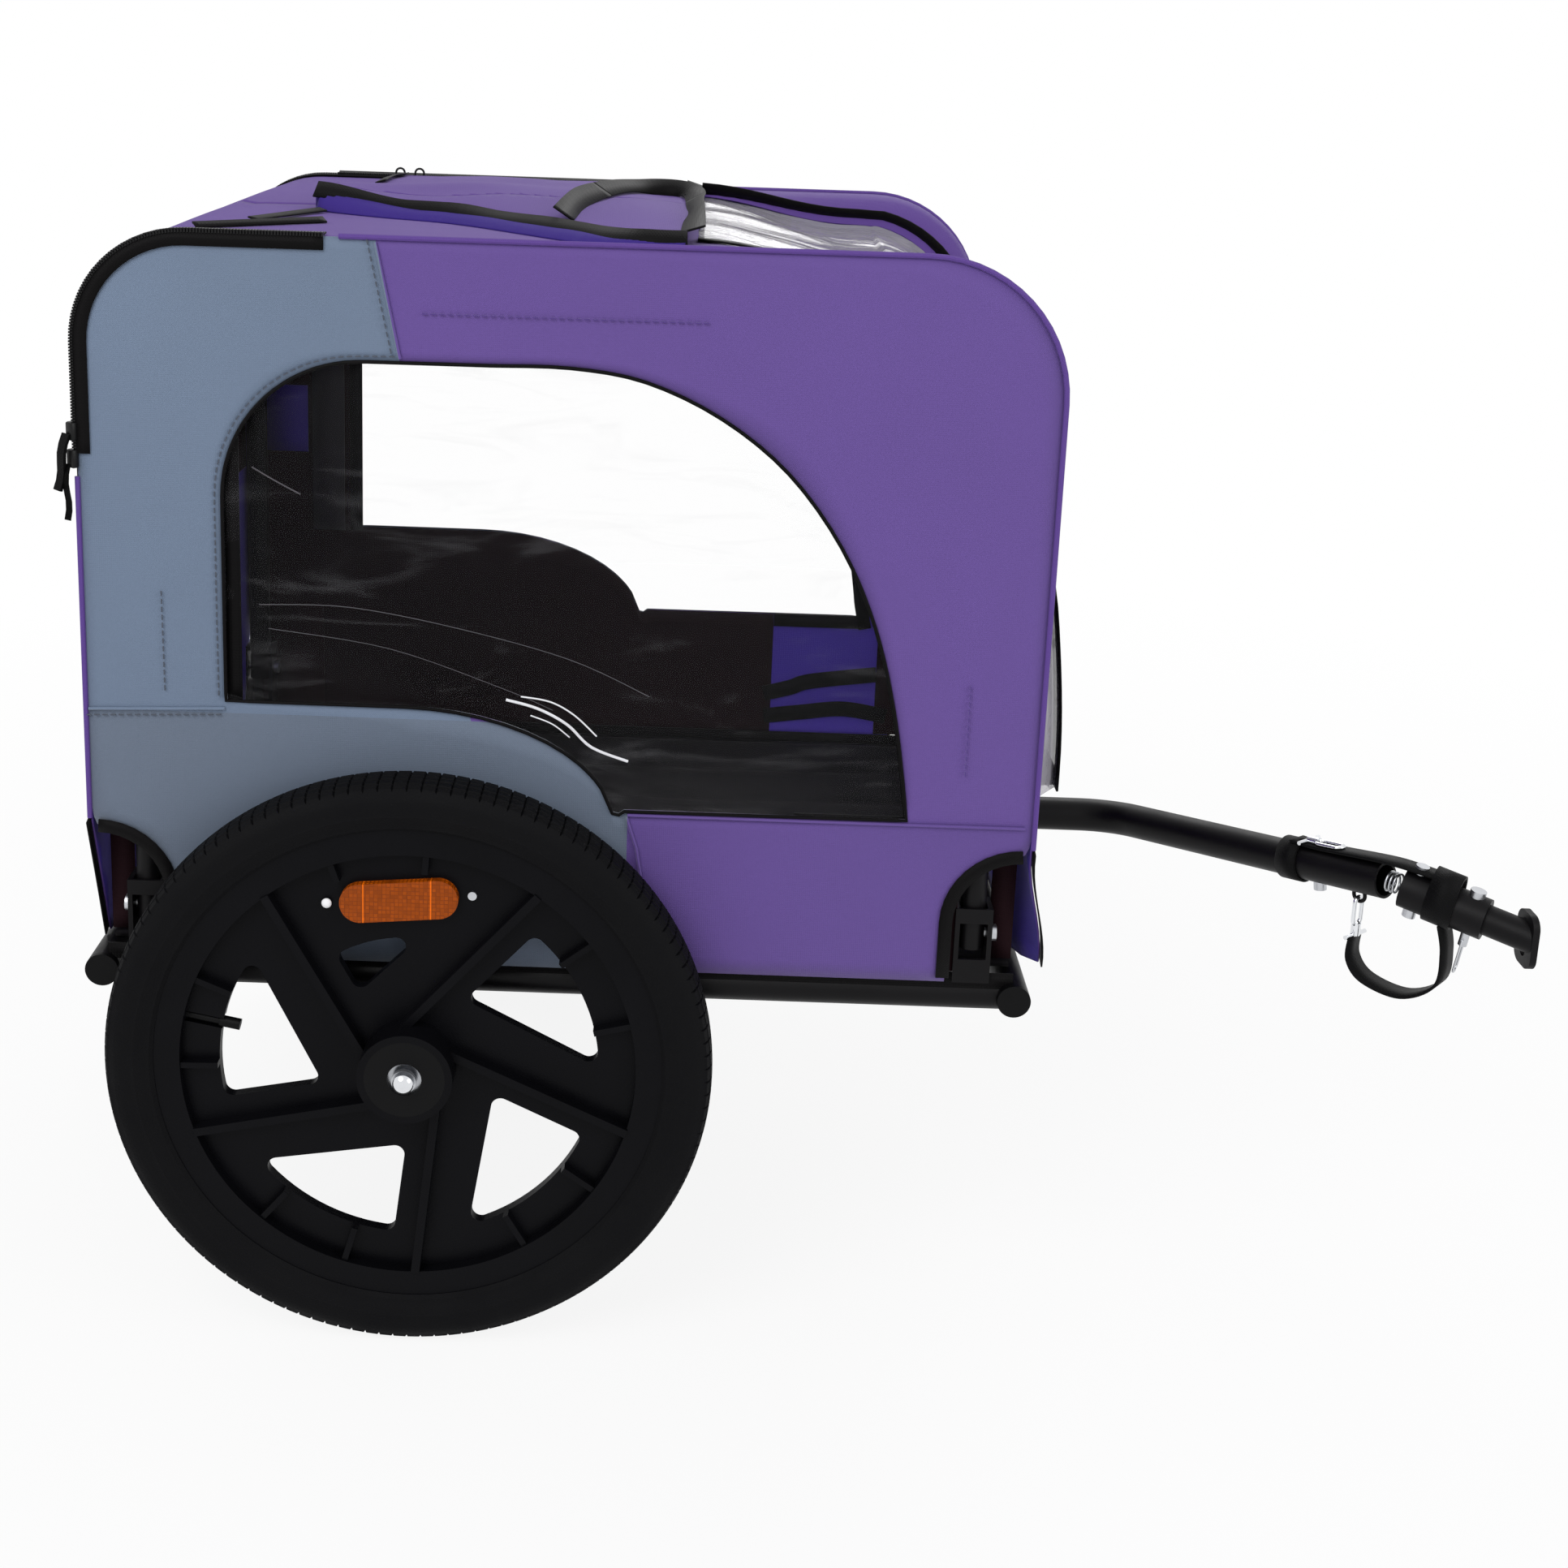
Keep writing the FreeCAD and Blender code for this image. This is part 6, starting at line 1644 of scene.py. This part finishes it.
def white_to_camera(tree):
    """One where a ray from the camera, a mirror or a clear sheet looks at the background."""
    path = add(tree, "LightPath").outputs
    seen = math_node(tree, "MAXIMUM", path["Is Camera Ray"], path["Is Glossy Ray"])
    return math_node(tree, "MAXIMUM", seen, path["Is Transmission Ray"])


world = bpy.data.worlds.new("room")
bpy.context.scene.world = world
world.use_nodes = True
tree = world.node_tree
tree.nodes.clear()
strength = add(tree, "MapRange", Value=white_to_camera(tree), in_3=ROOM_LIGHT, in_4=1.0).outputs[0]
room = add(tree, "Background", Color=WHITE, Strength=strength)
output = tree.nodes.new("ShaderNodeOutputWorld")
tree.links.new(room.outputs[0], output.inputs[0])

bm = bmesh.new()
bmesh.ops.create_circle(bm, cap_ends=True, segments=96, radius=FLOOR_R)
bmesh.ops.translate(bm, verts=bm.verts, vec=(0, 0, -FLOOR_DROP))
floor_finish, tree, shader = new_finish("pale_floor", Base_Color=FLOOR_GREY, Roughness=0.9)
glow = add(tree, "Emission", Color=WHITE, Strength=1.0)
far = add(tree, "VectorMath", {"operation": "LENGTH"}, in_0=object_place(tree)).outputs["Value"]
fade = add(tree, "MapRange", Value=far, in_1=SHADOW_R, in_2=CLEAR_R, in_3=SHADOW_GLOW, in_4=1.0).outputs[0]
share = math_node(tree, "MULTIPLY", white_to_camera(tree), fade)
mixed = add(tree, "MixShader", Fac=share, in_1=shader.outputs[0], in_2=glow.outputs[0])
tree.links.new(mixed.outputs[0], tree.nodes["Material Output"].inputs["Surface"])
floor = make_piece("floor", bm, floor_finish)
floor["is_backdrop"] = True
print("floor:", 2 * FLOOR_R, "m wide")

# %% Lamps
LAMPS = {
    "key_lamp": (2.4, 62.0, (-1.6, -2.4, 2.9)),
    "fill_lamp": (2.0, 26.0, (2.6, -1.8, 1.6)),
    "rear_lamp": (2.0, 30.0, (0.6, 2.6, 2.4)),
}
target = spot(150, 0, 500)
for name, (size, power, place) in LAMPS.items():
    light = bpy.data.lights.new(name, "AREA")
    light.shape = "DISK"
    light.size = size
    light.energy = power
    holder = bpy.data.objects.new(name, light)
    turn = (target - Vector(place)).to_track_quat("-Z", "Y")
    holder.matrix_world = Matrix.Translation(place) @ turn.to_matrix().to_4x4()
    bpy.context.scene.collection.objects.link(holder)
bpy.context.scene.view_settings.view_transform = "Standard"
print("lamps:", len(LAMPS))

# %% Sizes and finish
for label, box in (("cad", cad_box), ("visual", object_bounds())):
    print(label, [[round(value, 4) for value in corner] for corner in box])
